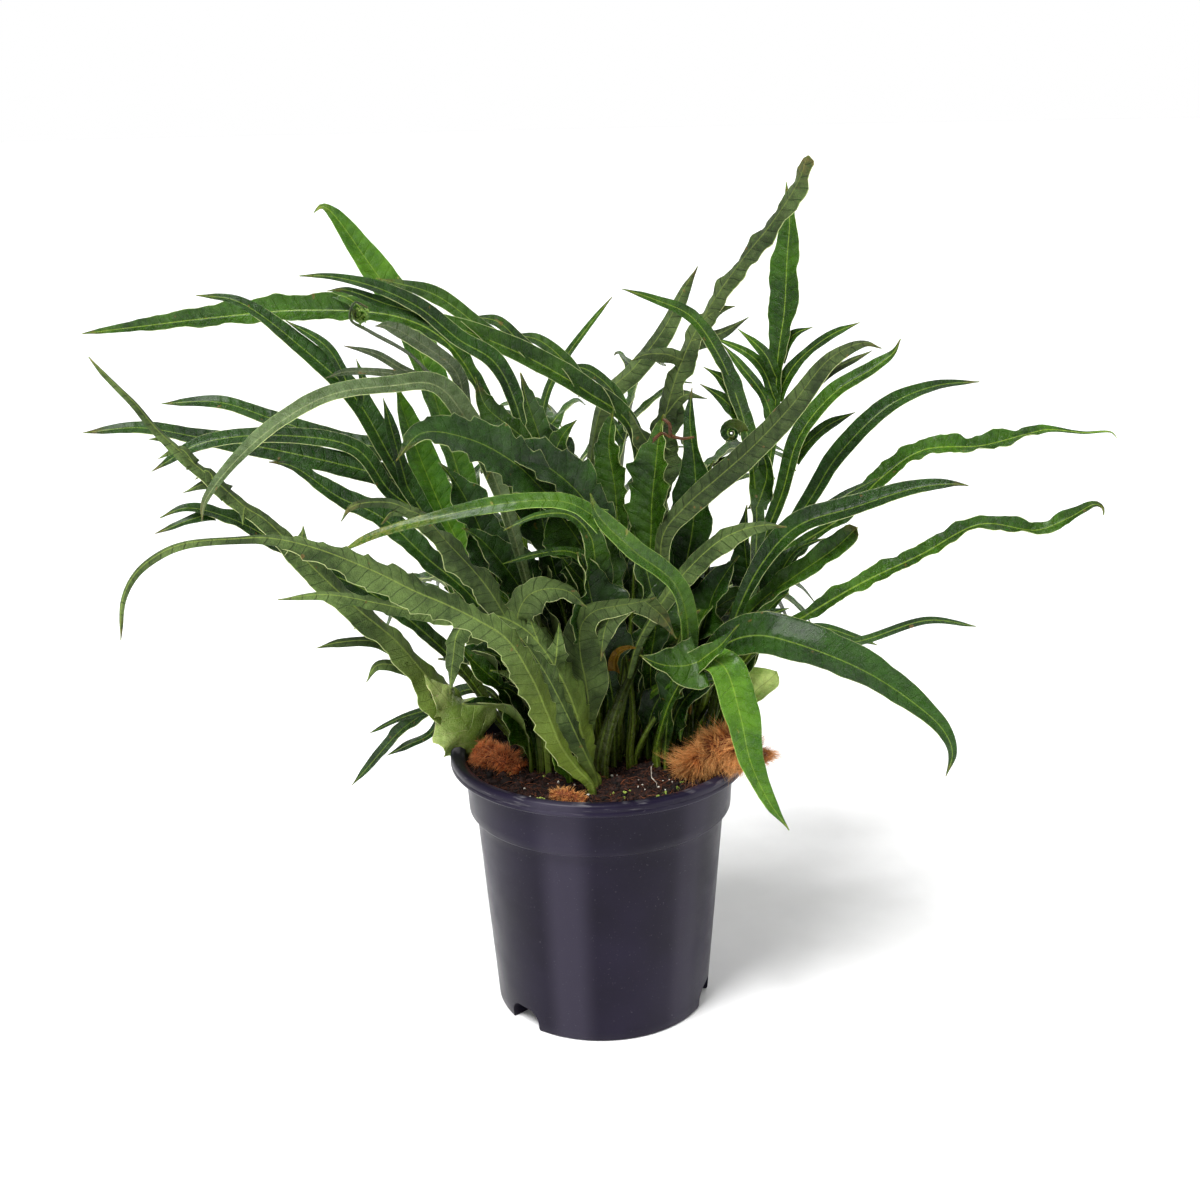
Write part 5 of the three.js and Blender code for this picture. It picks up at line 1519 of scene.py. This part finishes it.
@dataclass(frozen=True)
class PlasticFinish:
    """Dark satin plastic with dust on its lip, and two painted highlight bands up its wall:
    lighter colour that stands in for the reflection of a soft light.

    Attributes:
        painted_sheen: the colour of the painted highlight bands.
        bands: the angle round the axis, the half width in radians and the strength of each painted
            highlight band.
    """

    dark: Colour = (17, 13, 27)
    light: Colour = (27, 22, 40)
    dust: Colour = (120, 118, 122)
    painted_sheen: Colour = (52, 48, 62)
    bands: Points = ((-1.86, 0.26, 0.75), (-0.8, 0.2, 0.4))

    def material(self) -> Material:
        """The finish as a material in the pot's own coordinates."""
        material, graph = new_material("pot plastic")
        place = graph.place()
        x, y, z = graph.parts(place)
        angle = graph.calc("ARCTAN2", y, x)
        streaks = graph.noise(graph.vector(angle, graph.times(z, 120.0)), 5.0, 4.0)
        flow = graph.noise(place, 14.0, 3.0)
        colour = graph.blend(graph.stretch(flow, 0.3, 0.7), self.dark, self.light)
        # Painted highlight: each band lightens the wall round one angle, where a soft light would reflect
        for turned, wide, strength in self.bands:
            away = graph.calc("ABSOLUTE", graph.calc("SUBTRACT", angle, turned))
            share = graph.stretch(away, 0.25 * wide, wide, strength, 0.0)
            colour = graph.blend(share, colour, self.painted_sheen)
        specks = graph.stretch(graph.noise(place, 900.0), 0.68, 0.76)
        lip = graph.stretch(z, (RIM_TOP - 9) * METRE, RIM_TOP * METRE)
        worn = graph.times(lip, graph.stretch(streaks, 0.56, 0.72))
        dust = graph.calc("MAXIMUM", worn, graph.times(specks, 0.35))
        rough = graph.stretch(graph.noise(place, 60.0, 4.0), 0.3, 0.7, 0.28, 0.38)
        height = graph.plus(graph.times(graph.noise(place, 2600.0), 0.3), graph.times(flow, 0.7))
        graph.shade({
            "Base Color": graph.blend(graph.times(dust, 0.55), colour, self.dust),
            "Roughness": graph.plus(rough, graph.times(dust, 0.3)),
            "Normal": graph.relief(height, 0.00012), "Specular IOR Level": 0.13,
        })
        return material


@dataclass
class Pot:
    """The nursery pot: a thin tapered shell with a rolled lip, a collar and three drain notches.

    Attributes:
        sides: points of each ring.
        ring_gap: the most millimetres between two rings.
        fillet: the radius under the lip and round the foot.
        lip_roll: the radius of the lip's outer top.
    """

    sides: int = 160
    ring_gap: float = 5.0
    fillet: float = 1.6
    lip_roll: float = 2.4

    def rounding(self, radius: float, height: float, size: float, turns: Array) -> Array:
        """An arc of an outline about a centre, at angles from outwards towards upwards."""
        return np.column_stack([radius + size * np.cos(turns), height + size * np.sin(turns)])

    def outline(self) -> Array:
        """The closed outline of the wall as rows of radius and z, from the foot's middle up the
        outside, over the round lip and down the inside. Long stretches are cut every ring gap."""
        turns = np.radians(np.arange(-90, 91, 22.5))
        fillet, roll = self.fillet, self.lip_roll
        lip_low = RIM_TOP - LIP_HEIGHT
        groove = lip_low + LIP_HEIGHT / 2 - 1.2
        corners = [
            (0.0, 0.0), (FOOT_RADIUS - 8, 0.0), (FOOT_RADIUS - fillet, 0.0), (FOOT_RADIUS - 0.5, 0.45),
            (FOOT_RADIUS, fillet), (BODY_TOP_RADIUS - 0.1, COLLAR_STEP - 3),
            (BODY_TOP_RADIUS + 0.5, COLLAR_STEP - 1.2), (COLLAR_FOOT_RADIUS - 0.9, COLLAR_STEP - 0.2),
            (COLLAR_FOOT_RADIUS, COLLAR_STEP + 1.0), (COLLAR_RADIUS - 0.1, lip_low - 1.2),
            (COLLAR_RADIUS + 0.5, lip_low - 0.1), (RIM_RADIUS - 3, lip_low),
            *self.rounding(RIM_RADIUS - fillet, lip_low + fillet, fillet, turns[:5]),
            (RIM_RADIUS - 0.15, groove), (RIM_RADIUS - 0.45, groove + 0.5),
            *self.rounding(RIM_RADIUS - roll, RIM_TOP - roll, roll, turns[4:]),
            (RIM_RADIUS - 5.2, RIM_TOP - 0.3), (COLLAR_RADIUS, RIM_TOP - 2.6),
            (COLLAR_RADIUS - WALL, lip_low - 2), (COLLAR_FOOT_RADIUS - WALL, COLLAR_STEP + WALL),
            (BODY_TOP_RADIUS - WALL, COLLAR_STEP), (FOOT_RADIUS - WALL, FLOOR_THICKNESS),
            (0.0, FLOOR_THICKNESS),
        ]
        rows = []
        for start, end in zip(corners, corners[1:]):
            parts = max(math.ceil(abs(end[1] - start[1]) / self.ring_gap), 1)
            rows.extend(np.linspace(start, end, parts, endpoint=False))
        return np.array([*rows, corners[-1]])

    def shell(self) -> Skin:
        """The outline turned round the axis, with a single point at the middle of each floor."""
        radius, height = self.outline()[1:-1].T
        return round_body(circles(radius, height[:, None], self.sides), 0.0, FLOOR_THICKNESS)

    def arch(self, angle: float, width: float, height: float, near: float, far: float | None) -> Skin:
        """An arched block along the pot's radius. Its foot lies a little under the floor.

        Args:
            angle: degrees round the axis, from the front towards +X.
            width: across the block.
            height: of the arch.
            near: the block's inner end, millimetres from the axis.
            far: its outer end, or none to end just inside the pot's outer wall.
        """
        shoulder = width * 0.36
        turns = np.radians(np.linspace(0, 90, 9))
        half = np.vstack([
            [width / 2, -1.0 if far else 0.05],
            self.rounding(width / 2 - shoulder, height - shoulder, shoulder, turns),
        ])
        x, z = np.vstack([half, half[::-1] * [-1, 1]]).T
        wall = FOOT_RADIUS + (BODY_TOP_RADIUS - FOOT_RADIUS) * z / COLLAR_STEP
        out = np.full(len(x), far) if far else np.sqrt((wall - 0.5) ** 2 - x**2)
        rings = [np.column_stack([x, -np.full(len(x), near), z]), np.column_stack([x, -out, z])]
        cosine, sine = math.cos(math.radians(angle)), math.sin(math.radians(angle))
        spin = np.array([[cosine, sine, 0], [-sine, cosine, 0], [0, 0, 1]])
        return Skin(np.vstack(rings) @ spin, tube_faces(2, len(x)))

    def cut(self, piece: Object, blocks: Skin, operation: str) -> None:
        """Joins or cuts blocks into a piece with a Boolean modifier, and applies it.

        Args:
            piece: the piece that changes.
            blocks: the blocks as one skin.
            operation: the modifier's own word for it.
        """
        mesh = bpy.data.meshes.new("blocks")
        rows = [row.tolist() for block in blocks.faces for row in block]
        mesh.from_pydata((blocks.points * METRE).tolist(), [], rows)
        tool = place_object("blocks", mesh)
        boolean = piece.modifiers.new("cut", "BOOLEAN")
        boolean.operation = operation
        boolean.solver = "EXACT"
        boolean.object = tool
        graph = bpy.context.evaluated_depsgraph_get()
        done = bpy.data.meshes.new_from_object(piece.evaluated_get(graph))
        piece.modifiers.clear()
        piece.data = done
        bpy.data.objects.remove(tool)

    def build(self) -> None:
        """Makes the pot with a walled pocket behind each drain notch."""
        piece = make_piece("fine_pot", self.shell(), PlasticFinish().material(), ["pot"])
        near, far = FOOT_RADIUS - NOTCH_DEPTH, FOOT_RADIUS + 6
        wide, tall = NOTCH_WIDTH + 2 * WALL, NOTCH_HEIGHT + WALL
        pockets = [self.arch(angle, wide, tall, near - WALL, None) for angle in NOTCH_ANGLES]
        openings = [self.arch(angle, NOTCH_WIDTH, NOTCH_HEIGHT, near, far) for angle in NOTCH_ANGLES]
        self.cut(piece, joined(pockets), "UNION")
        self.cut(piece, joined(openings), "DIFFERENCE")
        piece.data.shade_smooth()
        piece.data.set_sharp_from_angle(angle=math.radians(35))


# Soil


@dataclass(frozen=True)
class BitFinish:
    """A finish whose colour goes from one to another by the tone of each small bit.

    The mesh's mark "bit" holds a tone from 0 to 1, a share between the colours and the tip's, and
    the share along the bit.

    Attributes:
        low: the colour at tone 0.
        high: the colour at tone 1.
        tip: the colour of a strand's tip.
    """

    name: str
    low: Colour
    high: Colour
    tip: Colour
    roughness: float = 0.85

    def material(self) -> Material:
        """The finish as a material that reads the bits' own tones."""
        material, graph = new_material(self.name)
        tone, reach, along = graph.parts(graph.mark("bit"))
        colour = graph.blend(tone, self.low, self.high)
        colour = graph.blend(graph.times(reach, along), colour, self.tip)
        fine = graph.noise(graph.place(), 700.0)
        graph.shade({
            "Base Color": graph.dim(colour, graph.stretch(fine, 0.3, 0.7, 0.75, 1.2)),
            "Normal": graph.relief(fine, 0.0002), "Roughness": self.roughness,
            "Specular IOR Level": 0.3,
        })
        return material


@dataclass(frozen=True)
class EarthFinish:
    """Potting mix: near black and red-brown peat, rough all over."""

    dark: Colour = (16, 9, 8)
    brown: Colour = (40, 23, 19)
    rust: Colour = (96, 56, 36)

    def material(self) -> Material:
        """The finish as a material in the soil's own coordinates."""
        material, graph = new_material("potting mix")
        place = graph.place()
        coarse = graph.noise(place, 160.0, 5.0)
        fine = graph.noise(place, 900.0, 4.0)
        colour = graph.blend(graph.stretch(coarse, 0.38, 0.66), self.dark, self.brown)
        height = graph.plus(graph.times(coarse, 0.6), graph.times(fine, 0.4))
        graph.shade({
            "Base Color": graph.blend(graph.stretch(fine, 0.58, 0.72), colour, self.rust),
            "Normal": graph.relief(height, 0.0016), "Roughness": 0.95, "Specular IOR Level": 0.25,
        })
        return material


def lattice_noise(x: Array, y: Array, cell: float, draw: Draw) -> Array:
    """Soft random heights from -1 to 1: a random number at each corner of a square lattice, and
    between the corners a blend by 3t² - 2t³ both ways.

    Args:
        x: the places' first coordinates.
        y: their second ones.
        cell: millimetres from corner to corner.
        draw: the source of the corners' numbers.
    """
    size = 64
    grid = draw.uniform(-1, 1, (size, size))
    gx, gy = x / cell + size / 2, y / cell + size / 2
    ix, iy = np.floor(gx).astype(int), np.floor(gy).astype(int)
    tx, ty = smoothstep(0, 1, gx - ix), smoothstep(0, 1, gy - iy)
    row, below = ix % size, (ix + 1) % size
    column, after = iy % size, (iy + 1) % size
    near = grid[row, column] * (1 - tx) + grid[below, column] * tx
    return near * (1 - ty) + (grid[row, after] * (1 - tx) + grid[below, after] * tx) * ty


@dataclass
class Soil:
    """The potting mix: a rough bed that fills the pot, with crumbs, fibres, perlite and moss."""

    radius: float = COLLAR_RADIUS - WALL - 0.35
    bottom: float = 122.0
    rings: int = 84
    sides: int = 240
    crumbs: int = 2600
    fibres: int = 1500
    grit: int = 120
    tufts: int = 40
    tuft_lumps: int = 6
    root_bend: Points = ((33, 3), (31.7, -9), (29.3, -20), (29, -32), (31.6, -38), (31.4, -45))
    root_radius: float = 0.6

    def top(self, x: Array, y: Array) -> Array:
        """The bed's height: low lumps, and finer and finer noise over them."""
        low = np.sin(x / 8) * np.cos(y / 7) + 0.6 * np.sin((x + y) / 5)
        height = SOIL_TOP + 0.9 * low
        for cell, size in ((9.0, 1.3), (3.8, 0.8), (1.7, 0.45)):
            height = height + size * lattice_noise(x, y, cell, seeded(int(10 * cell)))
        return height

    def bed(self) -> Skin:
        """A disc of rings with the height of the top, then the wall down and a flat bottom."""
        disc = circles(self.radius * np.linspace(0, 1, self.rings + 1)[:0:-1], 0.0, self.sides)
        disc[..., 2] = self.top(disc[..., 0], disc[..., 1])
        low = circles(np.array([COLLAR_FOOT_RADIUS - WALL - 0.4]), self.bottom, self.sides)
        middle = float(self.top(np.array(0.0), np.array(0.0)))
        return round_body(np.concatenate([low, disc]), self.bottom, middle)

    def scattered(self, count: int, draw: Draw, spread: float = 1.0, lift: float = 0.0) -> Array:
        """Places spread evenly over the bed.

        Args:
            count: how many.
            draw: their source.
            spread: the share of the bed's radius that they reach.
            lift: millimetres above the bed.
        """
        radius = (self.radius - 1.5) * spread * np.sqrt(draw.uniform(0, 1, count))
        turn = draw.uniform(0, TURN, count)
        x, y = radius * np.sin(turn), -radius * np.cos(turn)
        return np.column_stack([x, y, self.top(x, y) + lift])

    def loose_fibres(self, draw: Draw) -> Skin:
        """Curved peat fibres: each an arc that starts and ends near the bed and rises between."""
        places = self.scattered(self.fibres, draw, 0.97)
        turn = draw.uniform(0, TURN, self.fibres)
        length = draw.uniform(3, 13, self.fibres)[:, None]
        heading = np.column_stack([np.cos(turn), np.sin(turn), np.zeros(self.fibres)])
        sideways = np.column_stack([-np.sin(turn), np.cos(turn), np.zeros(self.fibres)])
        t = np.linspace(0, 1, 6)
        sway = draw.normal(0, 0.22, (self.fibres, 1)) * length
        rise = np.abs(draw.normal(0.5, 0.8, (self.fibres, 1))) + 0.3
        arc = 4 * t * (1 - t)
        paths = places[:, None] + heading[:, None] * (length * t)[:, :, None]
        paths = paths + sideways[:, None] * (sway * arc)[:, :, None]
        radius = np.hypot(paths[:, :, 0], paths[:, :, 1])
        paths[:, :, :2] *= np.minimum(1, (self.radius - 1) / radius)[:, :, None]
        paths[:, :, 2] = self.top(paths[:, :, 0], paths[:, :, 1]) + rise * arc + 0.1
        marks = toned(draw.uniform(0, 1, self.fibres) ** 2, 0.3)
        return strands(paths, draw.uniform(0.1, 0.3, self.fibres), marks)

    def build(self) -> None:
        """Makes the bed and what lies loose on it."""
        draw = seeded(1)
        make_piece("fine_soil", self.bed(), EarthFinish().material(), ["soil"])
        places = self.scattered(self.crumbs, draw, lift=0.2)
        sizes = draw.gamma(3.0, 0.3, self.crumbs) + 0.25
        skin = lumps(places, sizes, draw.uniform(0, 1, self.crumbs) ** 1.6, draw)
        peat = BitFinish("peat crumbs", (14, 8, 7), (54, 32, 26), (60, 36, 28))
        make_piece("soil_crumbs", skin, peat.material())
        fibre = BitFinish("peat fibres", (44, 22, 15), (124, 70, 44), (110, 64, 40))
        make_piece("soil_fibres", self.loose_fibres(draw), fibre.material())
        bend = np.array(self.root_bend)
        bend = np.column_stack([bend, self.top(*bend.T) + self.root_radius + 0.1])
        pale = BitFinish("root", (150, 138, 122), (206, 198, 184), (206, 198, 184), 0.6)
        skin = strands(bend[None], np.array([self.root_radius]), toned(np.array([0.7])))
        make_piece("white_root", skin, pale.material())
        places = self.scattered(self.grit, draw, lift=0.5)
        sizes = draw.uniform(0.35, 1.1, self.grit)
        perlite = BitFinish("perlite", (196, 190, 176), (236, 232, 220), (220, 215, 200))
        skin = lumps(places, sizes, draw.uniform(0, 1, self.grit), draw)
        make_piece("perlite", skin, perlite.material())
        places = np.repeat(self.scattered(self.tufts, draw, 0.98), self.tuft_lumps, axis=0)
        places = places + draw.normal(0, 1.0, places.shape) * [1, 1, 0.3] + [0, 0, 0.7]
        tones = draw.uniform(0, 1, len(places))
        skin = lumps(places, draw.uniform(0.4, 0.95, len(places)), tones, draw)
        green = BitFinish("moss", (104, 128, 44), (176, 194, 92), (190, 204, 120))
        make_piece("moss", skin, green.material())


# Rhizomes


GOLDEN_FUR = BitFinish("fur golden", (96, 38, 12), (206, 112, 44), (248, 190, 116), 0.6)
RUST_FUR = BitFinish("fur rust", (128, 46, 18), (224, 112, 52), (244, 172, 108), 0.6)


@dataclass(frozen=True)
class RhizomeForm:
    """A creeping rootstock and the fur on it.

    Attributes:
        places: its middle line, as rows of x, y and z.
        radii: its radius at each of them.
        length: the hairs' length.
        droop: how far the hairs sink, as a share of their length.
    """

    places: Points
    radii: Sequence[float]
    hairs: int
    length: float
    droop: float
    finish: BitFinish = GOLDEN_FUR


RHIZOMES = {
    "rhizome_left": RhizomeForm(
        ((-70, -2, 153), (-62, -8, 152), (-52, -14, 150), (-44, -18, 147)),
        (4, 7, 6, 3.5), 3600, 5.2, 0.4, RUST_FUR,
    ),
    "rhizome_right": RhizomeForm(
        ((46, -25, 147), (56, -31, 156), (66, -38, 168), (78, -45, 170), (89, -51, 162)),
        (4.5, 6, 8, 7.5, 4), 6500, 8.0, 0.3,
    ),
    "rhizome_front": RhizomeForm(
        ((-26, -54, 147), (-18, -60, 149), (-8, -64, 147)), (3, 4.5, 3), 1200, 3.6, 0.4
    ),
}


@dataclass
class Rhizomes:
    """The furry rootstocks on the soil."""

    step: float = 1.2
    sides: int = 20
    tuft_length: float = 2.2
    tufts_around: int = 9

    def body(self, line: Ribbon, draw: Draw) -> Skin:
        """A lumpy rod: at each station a ring whose radius swings a little with the angle.

        Args:
            line: the rod as a ribbon.
            draw: the source of its tones.
        """
        turns = np.linspace(0, TURN, self.sides, endpoint=False)
        arc = line.arc[:, None]
        swing = 1 + 0.06 * np.sin(3 * turns + arc / 3) + 0.05 * np.sin(arc / 1.7 + turns)
        radius = line.width[:, None] / 2 * swing
        points = line.places(radius * np.cos(turns), -radius * np.sin(turns)).reshape(-1, 3)
        marks = toned(draw.uniform(0, 0.4, len(points)))
        return Skin(points, tube_faces(*radius.shape), {"bit": marks})

    def fur(self, line: Ribbon, form: RhizomeForm, draw: Draw) -> Skin:
        """Hairs that leave the rod square to it, lean along it, curl and sink under their weight.

        A hair's place at t is its root plus its length times t along its heading, plus its lean
        and its droop times t squared. Hairs of the same tuft share most of their lean and tone.
        Hairs that would end below the soil's top are left out.

        Args:
            line: the rod as a ribbon.
            form: the fur's number of hairs, length and droop.
            draw: the source of the hairs' places and bends.
        """
        at = draw.uniform(0, len(line.arc) - 1, form.hairs)
        low = at.astype(int)
        high = np.minimum(low + 1, len(line.arc) - 1)
        mix = (at - low)[:, None]

        def between(values: Array) -> Array:
            """The ribbon's values at each hair's own place along it."""
            return values[low] * (1 - mix) + values[high] * mix

        turn = draw.uniform(0, TURN, form.hairs)[:, None]
        radius = between(line.width[:, None]) / 2
        normal = unit(between(line.across) * np.cos(turn) + between(line.face) * np.sin(turn))
        root = between(line.centre) + normal * radius * 0.92
        around_rod = (turn[:, 0] / TURN * self.tufts_around).astype(int)
        tuft = (at / self.tuft_length).astype(int) * self.tufts_around + around_rod
        tuft_count = int(tuft.max()) + 1
        heading = unit(normal + draw.normal(0, 0.2, (form.hairs, 3)))
        lean = draw.normal(0, 0.42, (tuft_count, 3))[tuft] + draw.normal(0, 0.14, (form.hairs, 3))
        length = form.length * draw.uniform(0.45, 1.15, (form.hairs, 1))
        t = np.linspace(0, 1, 4)[None, :, None]
        curve = heading[:, None] * t + (lean + [0, 0, -form.droop])[:, None] * t**2
        paths = root[:, None] + curve * length[:, None]
        tones = 0.6 * draw.uniform(0, 1, tuft_count)[tuft] + 0.4 * draw.uniform(0, 1, form.hairs)
        marks = toned(tones, draw.uniform(0.3, 1, form.hairs))
        radii = draw.uniform(0.11, 0.21, form.hairs)
        clear = paths[:, -1, 2] > SOIL_TOP
        return strands(paths[clear], radii[clear], marks[clear])

    def build(self) -> None:
        """Makes each rhizome with its fur."""
        bark = BitFinish("rhizome skin", (96, 46, 22), (150, 82, 40), (150, 90, 50)).material()
        furs = {finish.name: finish.material() for finish in (GOLDEN_FUR, RUST_FUR)}
        for index, (name, form) in enumerate(RHIZOMES.items()):
            draw = seeded(40 + index)
            line = ribbon(np.array(form.places, float), 2 * np.array(form.radii), 0.0, self.step)
            make_piece(f"fine_{name}", self.body(line, draw), bark, [name])
            make_piece(f"{name}_fur", self.fur(line, form, draw), furs[form.finish.name])


# Studio


@dataclass
class Studio:
    """The camera, the soft lights and the pale floor, with its lengths in metres.

    Attributes:
        aim: the point that the soft boxes look at.
        sky: the world's strength overhead.
        haze: its strength near the horizon.
        near_side: the share of it that is left on the camera's side.
    """

    floor_radius: float = 40.0
    floor_sides: int = 64
    aim: tuple[float, float, float] = (0, 0, 0.25)
    sky: float = 0.3
    haze: float = 1.3
    near_side: float = 0.55

    def camera(self) -> None:
        """A level camera at the eye, pitched down, then rolled about its own line of sight."""
        data = bpy.data.cameras.new("camera")
        data.lens = LENS
        data.sensor_width = SENSOR
        camera = place_object("camera", data)
        turn = Matrix.Rotation(math.pi / 2 - EYE_PITCH, 4, "X") @ Matrix.Rotation(-EYE_ROLL, 4, "Z")
        camera.matrix_world = Matrix.Translation((EYE * METRE).tolist()) @ turn
        bpy.context.scene.camera = camera

    def lamp(self, name: str, kind: str, power: float, toward: Vector) -> Object:
        """A lamp that shines from a direction."""
        data = bpy.data.lights.new(name, kind)
        data.energy = power
        lamp = place_object(name, data)
        lamp.rotation_mode = "QUATERNION"
        lamp.rotation_quaternion = toward.to_track_quat("Z", "Y")
        return lamp

    def box(self, name: str, place: tuple, size: float, power: float) -> None:
        """A square soft light that looks at the plant."""
        lamp = self.lamp(name, "AREA", power, Vector(place) - Vector(self.aim))
        lamp.data.size = size
        lamp.location = place

    def sun(self, name: str, toward: tuple, power: float, spread: float) -> None:
        """A far light of the same strength everywhere, as wide in the sky as its spread in degrees."""
        self.lamp(name, "SUN", power, Vector(toward)).data.angle = math.radians(spread)

    def surroundings(self) -> None:
        """A white world that lights the plant less from overhead and from the camera's side."""
        world = bpy.data.worlds.new("studio")
        world.use_nodes = True
        graph = Graph(world.node_tree)
        _, depth, height = graph.parts(graph.put("TexCoord").outputs["Generated"])
        strength = graph.stretch(height, 0.1, 0.5, self.haze, self.sky)
        dimmed = graph.times(strength, graph.stretch(depth, -0.5, 0.1, self.near_side, 1.0))
        seen = graph.put("LightPath").outputs["Is Camera Ray"]
        inputs = {"Color": (255, 255, 255), "Strength": graph.between(seen, dimmed, 1.0)}
        graph.feed(graph.tree.nodes["Background"], inputs)
        bpy.context.scene.world = world

    def floor(self) -> None:
        """A pale round floor at the pot's foot, wide enough to reach past every view."""
        mesh = bpy.data.meshes.new("floor")
        edge = circles(np.array([self.floor_radius]), 0.0, self.floor_sides)[0]
        mesh.from_pydata(edge.tolist(), [], [list(range(self.floor_sides))])
        material, graph = new_material("floor")
        pale = graph.stretch(graph.noise(graph.place(), 30.0, 4.0), 0.3, 0.7, 0.9, 0.93)
        graph.shade({"Base Color": pale, "Roughness": 0.8})
        mesh.materials.append(material)
        place_object("floor", mesh)

    def build(self) -> None:
        """Sets the whole studio up."""
        self.camera()
        self.floor()
        self.surroundings()
        self.sun("key", (-0.45, -0.5, 1.25), 4.2, 24.0)
        self.sun("back", (0.5, 0.9, 1.2), 0.9, 50.0)
        self.box("left box", (-0.95, -0.95, 0.3), 1.1, 7.0)
        self.box("right box", (1.25, -0.75, 0.35), 0.6, 5.0)
        view = bpy.context.scene.view_settings
        view.view_transform = "Standard"
        view.look = "None"


def main() -> None:
    """Builds the plant and its studio."""
    logging.basicConfig(level=logging.INFO, format="%(name)s %(message)s")
    for part in (Studio(), Pot(), Soil(), Rhizomes(), Fronds()):
        part.build()


if __name__ == "__main__":
    main()
